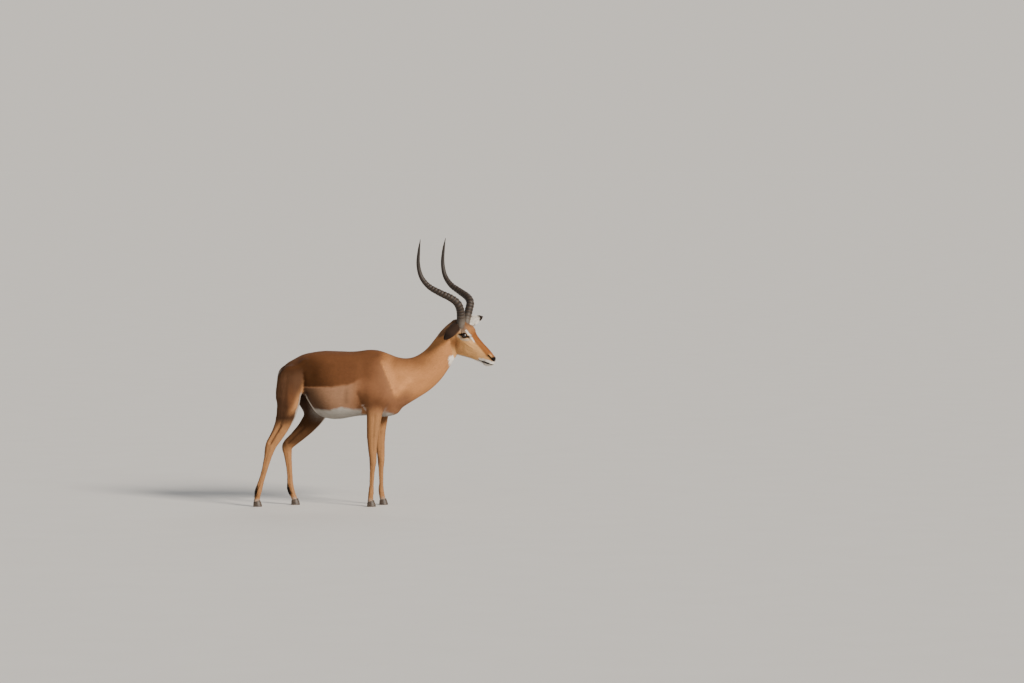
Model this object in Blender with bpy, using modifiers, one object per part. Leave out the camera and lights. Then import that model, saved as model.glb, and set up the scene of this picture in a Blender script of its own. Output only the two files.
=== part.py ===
"""Impala ram, life size, standing: a still museum model in separate solids.

Frame: metres, +X towards the head, +Y to the animal's left, +Z up. The origin is on the floor, under
the middle of the whole model. The flesh is lofted from named cross-sections, fused into one body and
parted again with thin plane cuts into head, neck, trunk and legs. Horns, ears, eyes, tail and hooves
are solids of their own that meet it with a hair's gap.
"""

import math

import bmesh
import bpy
import numpy as np
from mathutils import Matrix, Vector

# ---------------------------------------------------------------- driving dimensions
GAP = 0.0004            # clearance between neighbouring solids
BODY_VOXEL = 0.0055     # grid that fuses trunk, neck and legs
HEAD_VOXEL = 0.0034     # finer grid for the head
RING = 28               # points round a lofted section
BODY_FACES = 2500       # triangles kept on trunk, neck and legs
HEAD_FACES = 1250       # triangles kept on the head

POLL = Vector((0.489, -0.014, 1.012))   # top of the neck joint, the head's own origin
HEAD_PITCH = math.radians(42)           # nose below the horizontal
HEAD_YAW = math.radians(-24)            # nose turned to the animal's right
EYE_CENTRE = (0.0640, 0.0420, 0.0190)   # in the head's frame, left eye
EYE_RADIUS = 0.0180
EAR_LENGTH = 0.156
EAR_WIDTH = 0.062
EAR_THICKNESS = 0.0034
HORN_BASE_RADIUS = 0.0238
HOOF_HEIGHT = 0.033
HOOF_CLEFT = 0.0030

# ---------------------------------------------------------------- cross-sections of the flesh
# Trunk: x, back z, belly z, half width, level of the widest point, upper and lower roundness.
TRUNK = {
    "pin bones": (-0.520, 0.798, 0.700, 0.036, 0.50, 2.0, 2.0),
    "tail head": (-0.500, 0.824, 0.655, 0.072, 0.50, 2.0, 2.0),
    "croup": (-0.455, 0.848, 0.655, 0.106, 0.50, 2.0, 2.0),
    "hips": (-0.405, 0.875, 0.645, 0.131, 0.46, 2.0, 2.1),
    "flank fold": (-0.366, 0.884, 0.588, 0.137, 0.46, 2.0, 2.2),
    "loin": (-0.330, 0.891, 0.535, 0.143, 0.44, 2.0, 2.2),
    "flank": (-0.275, 0.897, 0.505, 0.154, 0.42, 2.0, 2.2),
    "last ribs": (-0.195, 0.894, 0.498, 0.163, 0.42, 2.0, 2.2),
    "mid ribs": (-0.100, 0.893, 0.515, 0.155, 0.42, 1.9, 2.1),
    "withers": (-0.015, 0.906, 0.519, 0.130, 0.40, 1.7, 2.1),
    "shoulders": (0.045, 0.899, 0.511, 0.114, 0.40, 1.7, 2.0),
    "point of shoulder": (0.095, 0.880, 0.514, 0.102, 0.42, 1.8, 1.9),
    "breast": (0.138, 0.860, 0.534, 0.084, 0.45, 1.9, 1.8),
    "breast front": (0.160, 0.830, 0.588, 0.058, 0.50, 2.0, 2.0),
}
# Neck: crest x and z, throat x and z, half width, sideways shift.
NECK = {
    "root": (0.070, 0.880, 0.100, 0.528, 0.096, 0.0),
    "base": (0.132, 0.862, 0.174, 0.566, 0.088, 0.0),
    "lower": (0.201, 0.853, 0.250, 0.612, 0.079, 0.0),
    "middle": (0.262, 0.875, 0.325, 0.659, 0.070, 0.0),
    "upper": (0.312, 0.915, 0.390, 0.719, 0.064, -0.001),
    "throat": (0.358, 0.974, 0.431, 0.776, 0.060, -0.004),
    "throatlatch": (0.409, 1.036, 0.462, 0.826, 0.057, -0.008),
    "poll": (0.448, 1.064, 0.486, 0.870, 0.052, -0.012),
    "occiput": (0.480, 1.066, 0.508, 0.920, 0.038, -0.014),
}
# Head, in its own frame: x, top z, bottom z, half width, level of the widest point, roundness.
HEAD = {
    "nape": (-0.062, 0.034, -0.040, 0.030, 0.55, 2.0, 2.0),
    "occiput": (-0.034, 0.053, -0.080, 0.046, 0.58, 2.0, 2.0),
    "poll": (0.000, 0.066, -0.100, 0.051, 0.60, 2.1, 1.9),
    "brow": (0.040, 0.074, -0.112, 0.054, 0.66, 2.3, 1.8),
    "orbit": (0.068, 0.071, -0.115, 0.052, 0.66, 2.4, 1.7),
    "cheek": (0.100, 0.061, -0.107, 0.044, 0.60, 2.2, 1.7),
    "face": (0.135, 0.056, -0.086, 0.038, 0.55, 2.2, 1.8),
    "bridge": (0.170, 0.053, -0.066, 0.034, 0.50, 2.3, 2.0),
    "muzzle": (0.210, 0.052, -0.049, 0.0300, 0.48, 2.4, 2.2),
    "nostrils": (0.246, 0.048, -0.035, 0.0285, 0.52, 2.4, 2.2),
    "nose": (0.272, 0.040, -0.026, 0.0255, 0.52, 2.3, 2.2),
    "lips": (0.288, 0.027, -0.016, 0.0190, 0.50, 2.1, 2.1),
    "lip front": (0.294, 0.012, -0.010, 0.009, 0.50, 2.0, 2.0),
}

# ---------------------------------------------------------------- legs: a pose and shared girths
# Joint positions: x, y, z. The left hind leg is under the belly, the right one stretched back.
FORE_POSE = {
    "right": ((0.010, -0.098, 0.640), (-0.002, -0.096, 0.560), (0.001, -0.083, 0.259),
              (-0.010, -0.075, 0.084), (-0.013, -0.074, 0.032)),
    "left": ((0.036, 0.098, 0.640), (0.030, 0.096, 0.560), (0.044, 0.083, 0.259),
             (0.044, 0.075, 0.084), (0.053, 0.074, 0.032)),
}
HIND_POSE = {
    "right": ((-0.450, -0.093, 0.775), (-0.450, -0.098, 0.592), (-0.585, -0.080, 0.345),
              (-0.655, -0.073, 0.092), (-0.667, -0.072, 0.032)),
    "left": ((-0.448, 0.093, 0.775), (-0.283, 0.100, 0.551), (-0.497, 0.080, 0.338),
             (-0.477, 0.073, 0.092), (-0.455, 0.072, 0.032)),
}
# Girths: bone, share of its length, reach to the front, reach to the rear, half width.
FORE_GIRTHS = (
    (0, 0.00, 0.040, 0.036, 0.022), (0, 0.60, 0.064, 0.042, 0.036), (1, 0.00, 0.066, 0.036, 0.036),
    (1, 0.18, 0.056, 0.0365, 0.033), (1, 0.38, 0.041, 0.0365, 0.029), (1, 0.60, 0.0285, 0.0330, 0.0235),
    (1, 0.80, 0.0240, 0.0275, 0.0200), (1, 0.93, 0.0220, 0.0225, 0.0200),
    (2, 0.02, 0.0215, 0.0215, 0.0195), (2, 0.18, 0.0175, 0.0185, 0.0155),
    (2, 0.42, 0.0145, 0.0160, 0.0125), (2, 0.70, 0.0140, 0.0145, 0.0120),
    (2, 0.86, 0.0145, 0.0150, 0.0130), (3, 0.00, 0.0170, 0.0175, 0.0165),
    (3, 0.50, 0.0150, 0.0175, 0.0155), (3, 1.00, 0.0180, 0.0190, 0.0180),
    (3, 1.60, 0.0180, 0.0190, 0.0180),
)
HIND_GIRTHS = (
    (0, -0.22, 0.040, 0.050, 0.026), (0, 0.05, 0.058, 0.090, 0.046), (0, 0.50, 0.048, 0.106, 0.062),
    (0, 0.85, 0.038, 0.110, 0.062), (1, 0.02, 0.035, 0.112, 0.056), (1, 0.20, 0.046, 0.084, 0.046),
    (1, 0.40, 0.048, 0.059, 0.036), (1, 0.60, 0.043, 0.044, 0.028), (1, 0.80, 0.0355, 0.0390, 0.0225),
    (1, 0.94, 0.0300, 0.0385, 0.0205), (2, 0.03, 0.0285, 0.0350, 0.0205),
    (2, 0.15, 0.0240, 0.0285, 0.0180), (2, 0.32, 0.0205, 0.0220, 0.0150),
    (2, 0.60, 0.0180, 0.0170, 0.0128), (2, 0.82, 0.0170, 0.0195, 0.0132),
    (2, 0.94, 0.0185, 0.0230, 0.0155), (3, 0.10, 0.0190, 0.0215, 0.0165),
    (3, 0.50, 0.0165, 0.0185, 0.0155), (3, 1.00, 0.0180, 0.0190, 0.0180),
    (3, 1.60, 0.0180, 0.0190, 0.0180),
)
# The shoulder blade and upper arm lie on the rib cage: top, point of the shoulder, elbow.
SHOULDER = {
    "right": ((0.000, -0.056, 0.862), (0.092, -0.084, 0.655), (0.004, -0.094, 0.575)),
    "left": ((0.008, 0.056, 0.862), (0.100, 0.084, 0.655), (0.034, 0.094, 0.575)),
}
SHOULDER_GIRTHS = (
    (0, 0.00, 0.030, 0.036, 0.020), (0, 0.35, 0.040, 0.066, 0.030), (0, 0.75, 0.036, 0.084, 0.036),
    (1, 0.10, 0.040, 0.066, 0.039), (1, 0.60, 0.052, 0.056, 0.038), (1, 1.10, 0.056, 0.048, 0.033),
)

# ---------------------------------------------------------------- horns, ears, tail
# Horn axis in the upright head frame: forward, outward, up, radius as a share of the base radius.
HORN = (
    (0.030, 0.031, 0.020, 1.02), (0.035, 0.039, 0.060, 1.00), (0.041, 0.059, 0.114, 0.97),
    (0.036, 0.088, 0.157, 0.94), (0.006, 0.112, 0.188, 0.88), (-0.054, 0.136, 0.219, 0.79),
    (-0.115, 0.151, 0.255, 0.68), (-0.157, 0.161, 0.308, 0.58), (-0.174, 0.167, 0.380, 0.47),
    (-0.169, 0.169, 0.460, 0.32), (-0.158, 0.172, 0.524, 0.07),
)
# Ear: root in the head's frame, then its direction and the way it opens, in the model's frame.
EARS = {
    "left": ((-0.008, 0.036, 0.028), (0.68, 0.68, 0.28), (0.65, -0.73, 0.21)),
    "right": ((-0.010, -0.038, 0.027), (-0.42, -0.80, -0.42), (-0.36, 0.57, -0.74)),
}
# Tail axis: x, z, half width, half thickness.
TAIL = (
    (-0.492, 0.800, 0.024, 0.018), (-0.520, 0.786, 0.023, 0.016), (-0.536, 0.752, 0.020, 0.013),
    (-0.541, 0.700, 0.019, 0.011), (-0.542, 0.640, 0.021, 0.011), (-0.541, 0.580, 0.021, 0.011),
    (-0.539, 0.530, 0.015, 0.009), (-0.538, 0.495, 0.004, 0.003),
)

# ---------------------------------------------------------------- colours
COLOURS = {
    "coat": ((0.50, 0.24, 0.09), 0.75),
    "horn": ((0.07, 0.055, 0.045), 0.45),
    "hoof": ((0.045, 0.04, 0.035), 0.4),
    "eye": ((0.02, 0.012, 0.008), 0.08),
}


def material(name):
    """One Principled material for each kind of surface."""
    found = bpy.data.materials.get(name)
    if found:
        return found
    colour, roughness = COLOURS[name]
    made = bpy.data.materials.new(name)
    made.use_nodes = True
    shader = made.node_tree.nodes["Principled BSDF"]
    shader.inputs["Base Color"].default_value = (*colour, 1.0)
    shader.inputs["Roughness"].default_value = roughness
    return made


def catmull(rows, share):
    """Value at share (0 to 1) of a smooth curve through the rows."""
    rows = np.asarray(rows, float)
    place = share * (len(rows) - 1)
    i = min(int(place), len(rows) - 2)
    t = place - i
    a, b = rows[i], rows[i + 1]
    before = rows[i - 1] if i > 0 else 2 * a - b
    after = rows[i + 2] if i + 2 < len(rows) else 2 * b - a
    return 0.5 * (2 * a + (b - before) * t + (2 * before - 5 * a + 4 * b - after) * t * t
                  + (3 * a - before - 3 * b + after) * t ** 3)


def smooth_rows(rows, steps):
    """The rows with steps spans of a smooth curve between each two."""
    count = (len(rows) - 1) * steps
    return [catmull(rows, k / count) for k in range(count + 1)]


def loft(rings):
    """Closed mesh through rings of points, with a cap at each end."""
    bm = bmesh.new()
    rows = [[bm.verts.new(p) for p in ring] for ring in rings]
    n = len(rows[0])
    for low, high in zip(rows, rows[1:]):
        for k in range(n):
            bm.faces.new((low[k], low[(k + 1) % n], high[(k + 1) % n], high[k]))
    bm.faces.new(list(reversed(rows[0])))
    bm.faces.new(rows[-1])
    bmesh.ops.triangulate(bm, faces=bm.faces)
    bmesh.ops.recalc_face_normals(bm, faces=bm.faces)
    if bm.calc_volume(signed=True) < 0:
        bmesh.ops.reverse_faces(bm, faces=bm.faces)
    mesh = bpy.data.meshes.new("loft")
    bm.to_mesh(mesh)
    bm.free()
    return mesh


def section(top, bottom, side, half_width, widest=0.5, upper=2.0, lower=2.0):
    """Ring between a top and a bottom point: an egg whose widest level, and the roundness above
    and below it, are given. side is the unit vector across."""
    ring = []
    for k in range(RING):
        angle = 2 * math.pi * k / RING
        c, s = math.cos(angle), math.sin(angle)
        power = upper if s >= 0 else lower
        across = half_width * math.copysign(abs(c) ** (2 / power), c)
        rise = abs(s) ** (2 / power)
        level = widest + (1 - widest) * rise if s >= 0 else widest - widest * rise
        ring.append(bottom + (top - bottom) * level + side * across)
    return ring


def trunk_mesh():
    side = Vector((0, 1, 0))
    rings = []
    for x, top, bottom, half, widest, upper, lower in smooth_rows(list(TRUNK.values()), 3):
        rings.append(section(Vector((x, 0, top)), Vector((x, 0, bottom)), side, half, widest, upper, lower))
    return loft(rings)


def neck_mesh():
    side = Vector((0, 1, 0))
    rings = []
    for top_x, top_z, low_x, low_z, half, shift in smooth_rows(list(NECK.values()), 3):
        top, low = Vector((top_x, shift, top_z)), Vector((low_x, shift, low_z))
        rings.append(section(top, low, side, half, 0.46, 1.9, 1.9))
    return loft(rings)


def head_frame():
    """Places the head's own frame, x along the nose and z out of the forehead, in the model."""
    turn = Matrix.Rotation(HEAD_YAW, 4, "Z") @ Matrix.Rotation(HEAD_PITCH, 4, "Y")
    return Matrix.Translation(POLL) @ turn


def upright_head_frame():
    """The head's frame with its turn but without its pitch."""
    return Matrix.Translation(POLL) @ Matrix.Rotation(HEAD_YAW, 4, "Z")


def head_mesh():
    side = Vector((0, 1, 0))
    rings = []
    for x, top, bottom, half, widest, upper, lower in smooth_rows(list(HEAD.values()), 3):
        rings.append(section(Vector((x, 0, top)), Vector((x, 0, bottom)), side, half, widest, upper, lower))
    return loft(rings)


def limb_mesh(joints, girths):
    """Loft down a chain of joints. Each girth says how far the limb reaches in front of and behind
    the bone, and its half width."""
    joints = [Vector(j) for j in joints]
    stations = []
    for bone, share, front, rear, half in girths:
        start, end = joints[bone], joints[bone + 1]
        stations.append((*start.lerp(end, share), front, rear, half))
    rows = smooth_rows(stations, 2)
    rings = []
    for i, row in enumerate(rows):
        ahead, behind = rows[min(i + 1, len(rows) - 1)], rows[max(i - 1, 0)]
        along = Vector(ahead[:3] - behind[:3]).normalized()
        side = Vector((0, 1, 0))
        side = (side - along * side.dot(along)).normalized()
        fore = side.cross(along).normalized()
        if fore.x < 0:
            fore = -fore
        centre = Vector(row[:3])
        front, rear, half = row[3:]
        widest = rear / (front + rear)
        rings.append(section(centre + fore * front, centre - fore * rear, side, half, widest))
    return loft(rings)


def blob(centre, radii, turn=None):
    """Ellipsoid for one muscle or bony point."""
    bm = bmesh.new()
    place = Matrix.Translation(centre) @ (turn or Matrix()) @ Matrix.Diagonal((*radii, 1))
    bmesh.ops.create_uvsphere(bm, u_segments=24, v_segments=14, radius=1, matrix=place)
    mesh = bpy.data.meshes.new("blob")
    bm.to_mesh(mesh)
    bm.free()
    return mesh


def both_sides(centre, radii):
    """The same ellipsoid left and right of the middle plane."""
    x, y, z = centre
    return [blob((x, y, z), radii), blob((x, -y, z), radii)]


def joined(meshes, matrix=None):
    """One mesh from several, moved by matrix."""
    bm = bmesh.new()
    for mesh in meshes:
        bm.from_mesh(mesh)
    if matrix is not None:
        bm.transform(matrix)
    out = bpy.data.meshes.new("joined")
    bm.to_mesh(out)
    bm.free()
    return out


def with_modifiers(mesh, *settings):
    """The mesh after the modifiers named in settings, each a type and its values."""
    obj = bpy.data.objects.new("working", mesh)
    bpy.context.scene.collection.objects.link(obj)
    for kind, values in settings:
        modifier = obj.modifiers.new(kind.lower(), kind)
        for key, value in values.items():
            setattr(modifier, key, value)
    graph = bpy.context.evaluated_depsgraph_get()
    out = bpy.data.meshes.new_from_object(obj.evaluated_get(graph))
    bpy.data.objects.remove(obj)
    return out


def softened(mesh, rounds, strength):
    """Each point drawn towards the mean of its neighbours. strength gives, for an array of points,
    how much of the way it goes."""
    count = len(mesh.vertices)
    points = np.empty(count * 3)
    mesh.vertices.foreach_get("co", points)
    points = points.reshape(-1, 3)
    ends = np.empty(len(mesh.edges) * 2, dtype=np.int64)
    mesh.edges.foreach_get("vertices", ends)
    a, b = ends.reshape(-1, 2).T
    shared = np.maximum(np.bincount(np.concatenate((a, b)), minlength=count), 1)
    pull = 0.6 * strength(points)
    for _ in range(rounds):
        mean = np.empty_like(points)
        for k in range(3):
            total = np.bincount(a, points[b, k], count) + np.bincount(b, points[a, k], count)
            mean[:, k] = total / shared
        points += (mean - points) * pull[:, None]
    mesh.vertices.foreach_set("co", points.ravel())
    mesh.update()
    return mesh


def fused(mesh, voxel):
    """Fuses overlapping lofts into one skin."""
    return with_modifiers(mesh, ("REMESH", {"mode": "VOXEL", "voxel_size": voxel}))


def reduced(mesh, faces):
    """Fewer, larger triangles, most of them where the form bends."""
    bm = bmesh.new()
    bm.from_mesh(mesh)
    bmesh.ops.triangulate(bm, faces=bm.faces)
    count = len(bm.faces)
    bm.to_mesh(mesh)
    bm.free()
    return with_modifiers(mesh, ("DECIMATE", {"ratio": faces / count}))


def largest_body(mesh):
    """The mesh without loose scraps that a cut has left."""
    bm = bmesh.new()
    bm.from_mesh(mesh)
    bmesh.ops.remove_doubles(bm, verts=bm.verts, dist=0.00002)
    bmesh.ops.dissolve_degenerate(bm, edges=bm.edges, dist=0.00002)
    left = set(bm.verts)
    groups = []
    while left:
        seed = left.pop()
        group, stack = {seed}, [seed]
        while stack:
            for edge in stack.pop().link_edges:
                for vert in edge.verts:
                    if vert in left:
                        left.remove(vert)
                        group.add(vert)
                        stack.append(vert)
        groups.append(group)
    keep = max(groups, key=len)
    bmesh.ops.delete(bm, geom=[v for v in bm.verts if v not in keep], context="VERTS")
    bmesh.ops.triangulate(bm, faces=bm.faces)
    bmesh.ops.recalc_face_normals(bm, faces=bm.faces)
    if bm.calc_volume(signed=True) < 0:
        bmesh.ops.reverse_faces(bm, faces=bm.faces)
    out = bpy.data.meshes.new("kept")
    bm.to_mesh(out)
    bm.free()
    return out


def grown(mesh, distance):
    """A copy whose surface stands out by distance, for cutting with clearance."""
    bm = bmesh.new()
    bm.from_mesh(mesh)
    bm.normal_update()
    normals = [v.normal.copy() for v in bm.verts]
    for vert, normal in zip(bm.verts, normals):
        vert.co += normal * distance
    out = bpy.data.meshes.new("grown")
    bm.to_mesh(out)
    bm.free()
    return out


def boolean(mesh, cutter, operation):
    """mesh combined with cutter by the exact solver."""
    tool = bpy.data.objects.new("cutter", cutter)
    CUTTERS.objects.link(tool)
    tool.hide_render = True
    tool.display_type = "WIRE"
    out = with_modifiers(mesh, ("BOOLEAN", {"object": tool, "operation": operation, "solver": "EXACT"}))
    bpy.data.objects.remove(tool)
    return largest_body(out)


def half_space(point, normal):
    """A large box on the far side of a plane, along its normal."""
    normal = Vector(normal).normalized()
    size = 3.0
    bm = bmesh.new()
    facing = normal.to_track_quat("Z", "Y").to_matrix().to_4x4()
    middle = Matrix.Translation(Vector(point) + normal * size / 2)
    bmesh.ops.create_cube(bm, size=size, matrix=middle @ facing)
    mesh = bpy.data.meshes.new("half space")
    bm.to_mesh(mesh)
    bm.free()
    return mesh


def parted(mesh, point, normal):
    """The two sides of a thin plane cut: ahead along the normal, and behind."""
    normal = Vector(normal).normalized()
    point = Vector(point)
    ahead = boolean(mesh, half_space(point + normal * GAP / 2, normal), "INTERSECT")
    behind = boolean(mesh, half_space(point - normal * GAP / 2, -normal), "INTERSECT")
    return ahead, behind


def place(name, mesh, kind):
    """Adds one finished solid to the model's collection."""
    mesh.name = name
    mesh.materials.clear()
    mesh.materials.append(material(kind))
    mesh.shade_smooth()
    mesh.set_sharp_from_angle(angle=math.radians(40))
    obj = bpy.data.objects.new(name, mesh)
    MODEL.objects.link(obj)
    return obj


# ---------------------------------------------------------------- the flesh
def body_mesh():
    """Trunk, neck, shoulders and legs as one skin."""
    parts = [trunk_mesh(), neck_mesh()]
    for side in ("right", "left"):
        parts.append(limb_mesh(SHOULDER[side], SHOULDER_GIRTHS))
        parts.append(limb_mesh(FORE_POSE[side], FORE_GIRTHS))
        parts.append(limb_mesh(HIND_POSE[side], HIND_GIRTHS))
    parts += both_sides((-0.385, 0.092, 0.826), (0.040, 0.030, 0.030))   # hip bones
    parts += both_sides((-0.500, 0.060, 0.745), (0.042, 0.040, 0.060))   # buttocks
    parts += both_sides((-0.478, 0.042, 0.645), (0.052, 0.046, 0.088))   # inner thighs
    parts.append(blob((0.098, 0, 0.562), (0.066, 0.055, 0.046)))         # keel of the brisket
    # The broad masses blend softly, and the thin lower legs keep their girth.
    return softened(fused(joined(parts), BODY_VOXEL), 26, lambda p: np.clip((p[:, 2] - 0.36) / 0.24, 0.06, 1))


def skull_mesh():
    """The head as one skin, in its own frame."""
    parts = [head_mesh()]
    parts += both_sides((0.046, 0.030, 0.050), (0.036, 0.022, 0.022))    # brows over the eyes
    parts += both_sides((0.058, 0.022, -0.050), (0.056, 0.027, 0.050))   # jaw muscles
    parts += both_sides((0.100, 0.026, -0.010), (0.050, 0.018, 0.015))   # cheek bones
    parts += both_sides((0.262, 0.014, 0.026), (0.022, 0.014, 0.016))    # wings of the nostrils
    parts += both_sides((-0.006, 0.040, 0.022), (0.024, 0.018, 0.022))   # roots of the ears
    parts.append(blob((0.252, 0, -0.022), (0.028, 0.020, 0.015)))        # chin
    return softened(fused(joined(parts), HEAD_VOXEL), 12, lambda p: np.clip((0.30 - p[:, 0]) / 0.16, 0.2, 1))


def flesh():
    """The whole skin with few facets. The head keeps finer ones."""
    frame = head_frame()
    body = reduced(body_mesh(), BODY_FACES)
    head = skull_mesh()
    head.transform(frame)
    head = reduced(head, HEAD_FACES)
    return boolean(body, head, "UNION")


# ---------------------------------------------------------------- horns, ears, eyes, tail, hooves
def horn_mesh(side):
    """Lyre-shaped horn with ridges that fade before the smooth tip."""
    rings = []
    spans = 44
    points = [catmull(HORN, k / spans) for k in range(spans + 1)]
    sign = 1 if side == "left" else -1
    for k, row in enumerate(points):
        ahead, behind = points[min(k + 1, spans)], points[max(k - 1, 0)]
        along = Vector((ahead - behind)[:3]).normalized()
        share = k / spans
        ridge = 0.0016 * (k % 2) * min(1, max(0, (0.80 - share) * 6)) * min(1, share * 12)
        radius = HORN_BASE_RADIUS * row[3] + ridge
        across = along.cross(Vector((0, 1, 0))).normalized()
        other = along.cross(across)
        ring = []
        for step in range(10):
            angle = 2 * math.pi * step / 10
            p = Vector(row[:3]) + across * radius * math.cos(angle) + other * radius * math.sin(angle)
            ring.append(Vector((p.x, p.y * sign, p.z)))
        rings.append(ring)
    mesh = loft(rings)
    mesh.transform(upright_head_frame())
    return mesh


def ear_mesh(side):
    """A leaf-shaped cup: a sheet rolled about its length, narrow at the root and the tip."""
    root, along, opening = EARS[side]
    root = head_frame() @ Vector(root)
    along = Vector(along).normalized()
    opening = Vector(opening)
    opening = (opening - along * opening.dot(along)).normalized()
    across = along.cross(opening)
    lengthwise, crosswise = 10, 7
    rings = []
    for i in range(lengthwise + 1):
        t = i / lengthwise
        leaf = EAR_WIDTH / 2 * (math.sin(math.pi * min(1, 0.20 + 0.80 * t ** 0.80)) ** 0.62 + 0.12 * t)
        roll = math.radians(150 - 95 * min(1, t * 1.5))
        radius = leaf / math.sin(roll / 2)
        centre = root + along * EAR_LENGTH * t + opening * (0.012 * t * t + radius * math.cos(roll / 2))
        ring = []
        for layer, order in ((1, 1), (-1, -1)):
            for j in range(crosswise + 1)[::order]:
                angle = roll * (j / crosswise - 0.5)
                reach = radius + layer * EAR_THICKNESS / 2 * (1 - 0.4 * t)
                ring.append(centre + across * reach * math.sin(angle) - opening * reach * math.cos(angle))
        rings.append(ring)
    return loft(rings)


def eye_mesh(side, radius):
    x, y, z = EYE_CENTRE
    sign = 1 if side == "left" else -1
    bm = bmesh.new()
    bmesh.ops.create_uvsphere(bm, u_segments=14, v_segments=8, radius=radius)
    mesh = bpy.data.meshes.new("eye")
    bm.to_mesh(mesh)
    bm.free()
    mesh.transform(head_frame() @ Matrix.Translation((x, y * sign, z)))
    return mesh


def tail_mesh():
    """Brush that hangs between the buttocks."""
    rings = []
    rows = smooth_rows(TAIL, 2)
    for i, (x, z, half, thick) in enumerate(rows):
        ahead, behind = rows[min(i + 1, len(rows) - 1)], rows[max(i - 1, 0)]
        along = Vector((ahead[0] - behind[0], 0, ahead[1] - behind[1])).normalized()
        out = along.cross(Vector((0, 1, 0))).normalized()
        centre = Vector((x, 0, z))
        ring = []
        for step in range(10):
            angle = 2 * math.pi * step / 10
            ring.append(centre + Vector((0, half * math.cos(angle), 0)) + out * thick * math.sin(angle))
        rings.append(ring)
    return loft(rings)


def coronet(joints):
    """The top of the hooves: a point at the foot's middle and the plane's upward normal."""
    foot = Vector(joints[-1])
    return Vector((foot.x, foot.y, HOOF_HEIGHT - 0.003)), Vector((-0.30, 0, 1)).normalized()


def hoof_mesh(joints, outer):
    """One of the two hooves of a foot: flat sole, sloping toe wall, pointed towards the front."""
    foot, up = coronet(joints)
    outward = math.copysign(1, foot.y)
    sign = outward if outer else -outward
    rings = []
    for level, reach_front, reach_rear, width in (
        (0.0, 0.0310, 0.0205, 0.0208), (0.35, 0.0275, 0.0200, 0.0198), (1.0, 0.0190, 0.0190, 0.0175),
    ):
        ring = []
        for step in range(12):
            angle = 2 * math.pi * step / 12
            c, s = math.cos(angle), math.sin(angle)
            x = reach_front * c if c > 0 else reach_rear * c
            inner_flat = max(0.0, 0.5 + 0.5 * math.copysign(abs(s) ** 0.8, s))
            taper = 1 - 0.42 * max(0, c) ** 2
            y = HOOF_CLEFT / 2 + width * inner_flat * taper
            top = foot.z - GAP - (up.x * x) / up.z
            ring.append(Vector((foot.x + x, foot.y + sign * y, level * top)))
        rings.append(ring)
    return loft(rings)


def limb_region(name, joints, sign):
    """The space that belongs to one leg, bounded by planes: its own side of the middle, below the
    shoulder or hip, and for a hind leg behind the front of its thigh."""
    hip, stifle = Vector(joints[0]), Vector(joints[1])
    if name == "fore":
        planes = (
            ((0, 0.050 * sign, 0.530), (0, 0.60 * sign, -0.80)),
            ((stifle.x - 0.056, 0, 0), (1, 0, 0)),
            ((stifle.x + 0.092, 0, 0), (-1, 0, 0)),
        )
    else:
        down = (stifle - hip).normalized()
        back = Vector((down.z, 0, -down.x))
        planes = (
            ((0, 0, 0.650), (0, 0.55 * sign, -0.83)),
            (stifle - back * 0.074, back),
        )
    region = half_space((0, 0.001 * sign, 0), (0, sign, 0))
    for point, normal in planes:
        region = boolean(region, half_space(point, normal), "INTERSECT")
    return region


# ---------------------------------------------------------------- assembly
def start():
    for obj in list(bpy.data.objects):
        bpy.data.objects.remove(obj)
    model = bpy.data.collections.new("impala")
    cutters = bpy.data.collections.new("cutters")
    bpy.context.scene.collection.children.link(model)
    bpy.context.scene.collection.children.link(cutters)
    return model, cutters


def build():
    whole = flesh()
    clear = grown(whole, GAP)
    for side in ("left", "right"):
        whole = boolean(whole, eye_mesh(side, EYE_RADIUS + GAP), "DIFFERENCE")
        place(f"eye_{side}", largest_body(eye_mesh(side, EYE_RADIUS)), "eye")
        horn = horn_mesh(side)
        ear = boolean(boolean(ear_mesh(side), clear, "DIFFERENCE"), grown(horn, GAP), "DIFFERENCE")
        place(f"ear_{side}", ear, "coat")
        place(f"horn_{side}", boolean(horn, clear, "DIFFERENCE"), "horn")
        for name, pose in (("fore", FORE_POSE), ("hind", HIND_POSE)):
            for which in ("outer", "inner"):
                hoof = largest_body(hoof_mesh(pose[side], which == "outer"))
                place(f"hoof_{name}_{side}_{which}", hoof, "hoof")
    place("tail", boolean(tail_mesh(), clear, "DIFFERENCE"), "coat")

    # The head comes off behind the jaw and the neck before the shoulders.
    head, rest = parted(whole, (0.459, 0, 0.950), (0.985, -0.20, 0.14))
    neck, rest = parted(rest, (0.158, 0, 0.720), (0.970, 0, 0.24))
    place("head", head, "coat")
    place("neck", neck, "coat")
    for side, sign in (("left", 1), ("right", -1)):
        for name, pose in (("fore", FORE_POSE), ("hind", HIND_POSE)):
            region = limb_region(name, pose[side], sign)
            leg = boolean(rest, region, "INTERSECT")
            rest = boolean(rest, grown(region, 1.6 * GAP), "DIFFERENCE")
            # The foot ends in the sloping plane that its two hooves meet.
            top, up = coronet(pose[side])
            place(f"{name}leg_{side}", boolean(leg, half_space(top, up), "INTERSECT"), "coat")
    place("trunk", rest, "coat")


def centre():
    """Brings the origin under the middle of the whole model."""
    corners = [obj.matrix_world @ vert.co for obj in MODEL.objects for vert in obj.data.vertices]
    middle = [(min(c[k] for c in corners) + max(c[k] for c in corners)) / 2 for k in range(2)]
    for obj in MODEL.objects:
        obj.data.transform(Matrix.Translation((-middle[0], -middle[1], 0)))


MODEL, CUTTERS = start()
build()
centre()
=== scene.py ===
"""An impala ram, life size and standing still, with its skin, hair, horns, eyes and hooves."""

import math

import bmesh
import bpy
import numpy as np
from mathutils import Matrix, Vector
from mathutils.bvhtree import BVHTree


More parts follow.
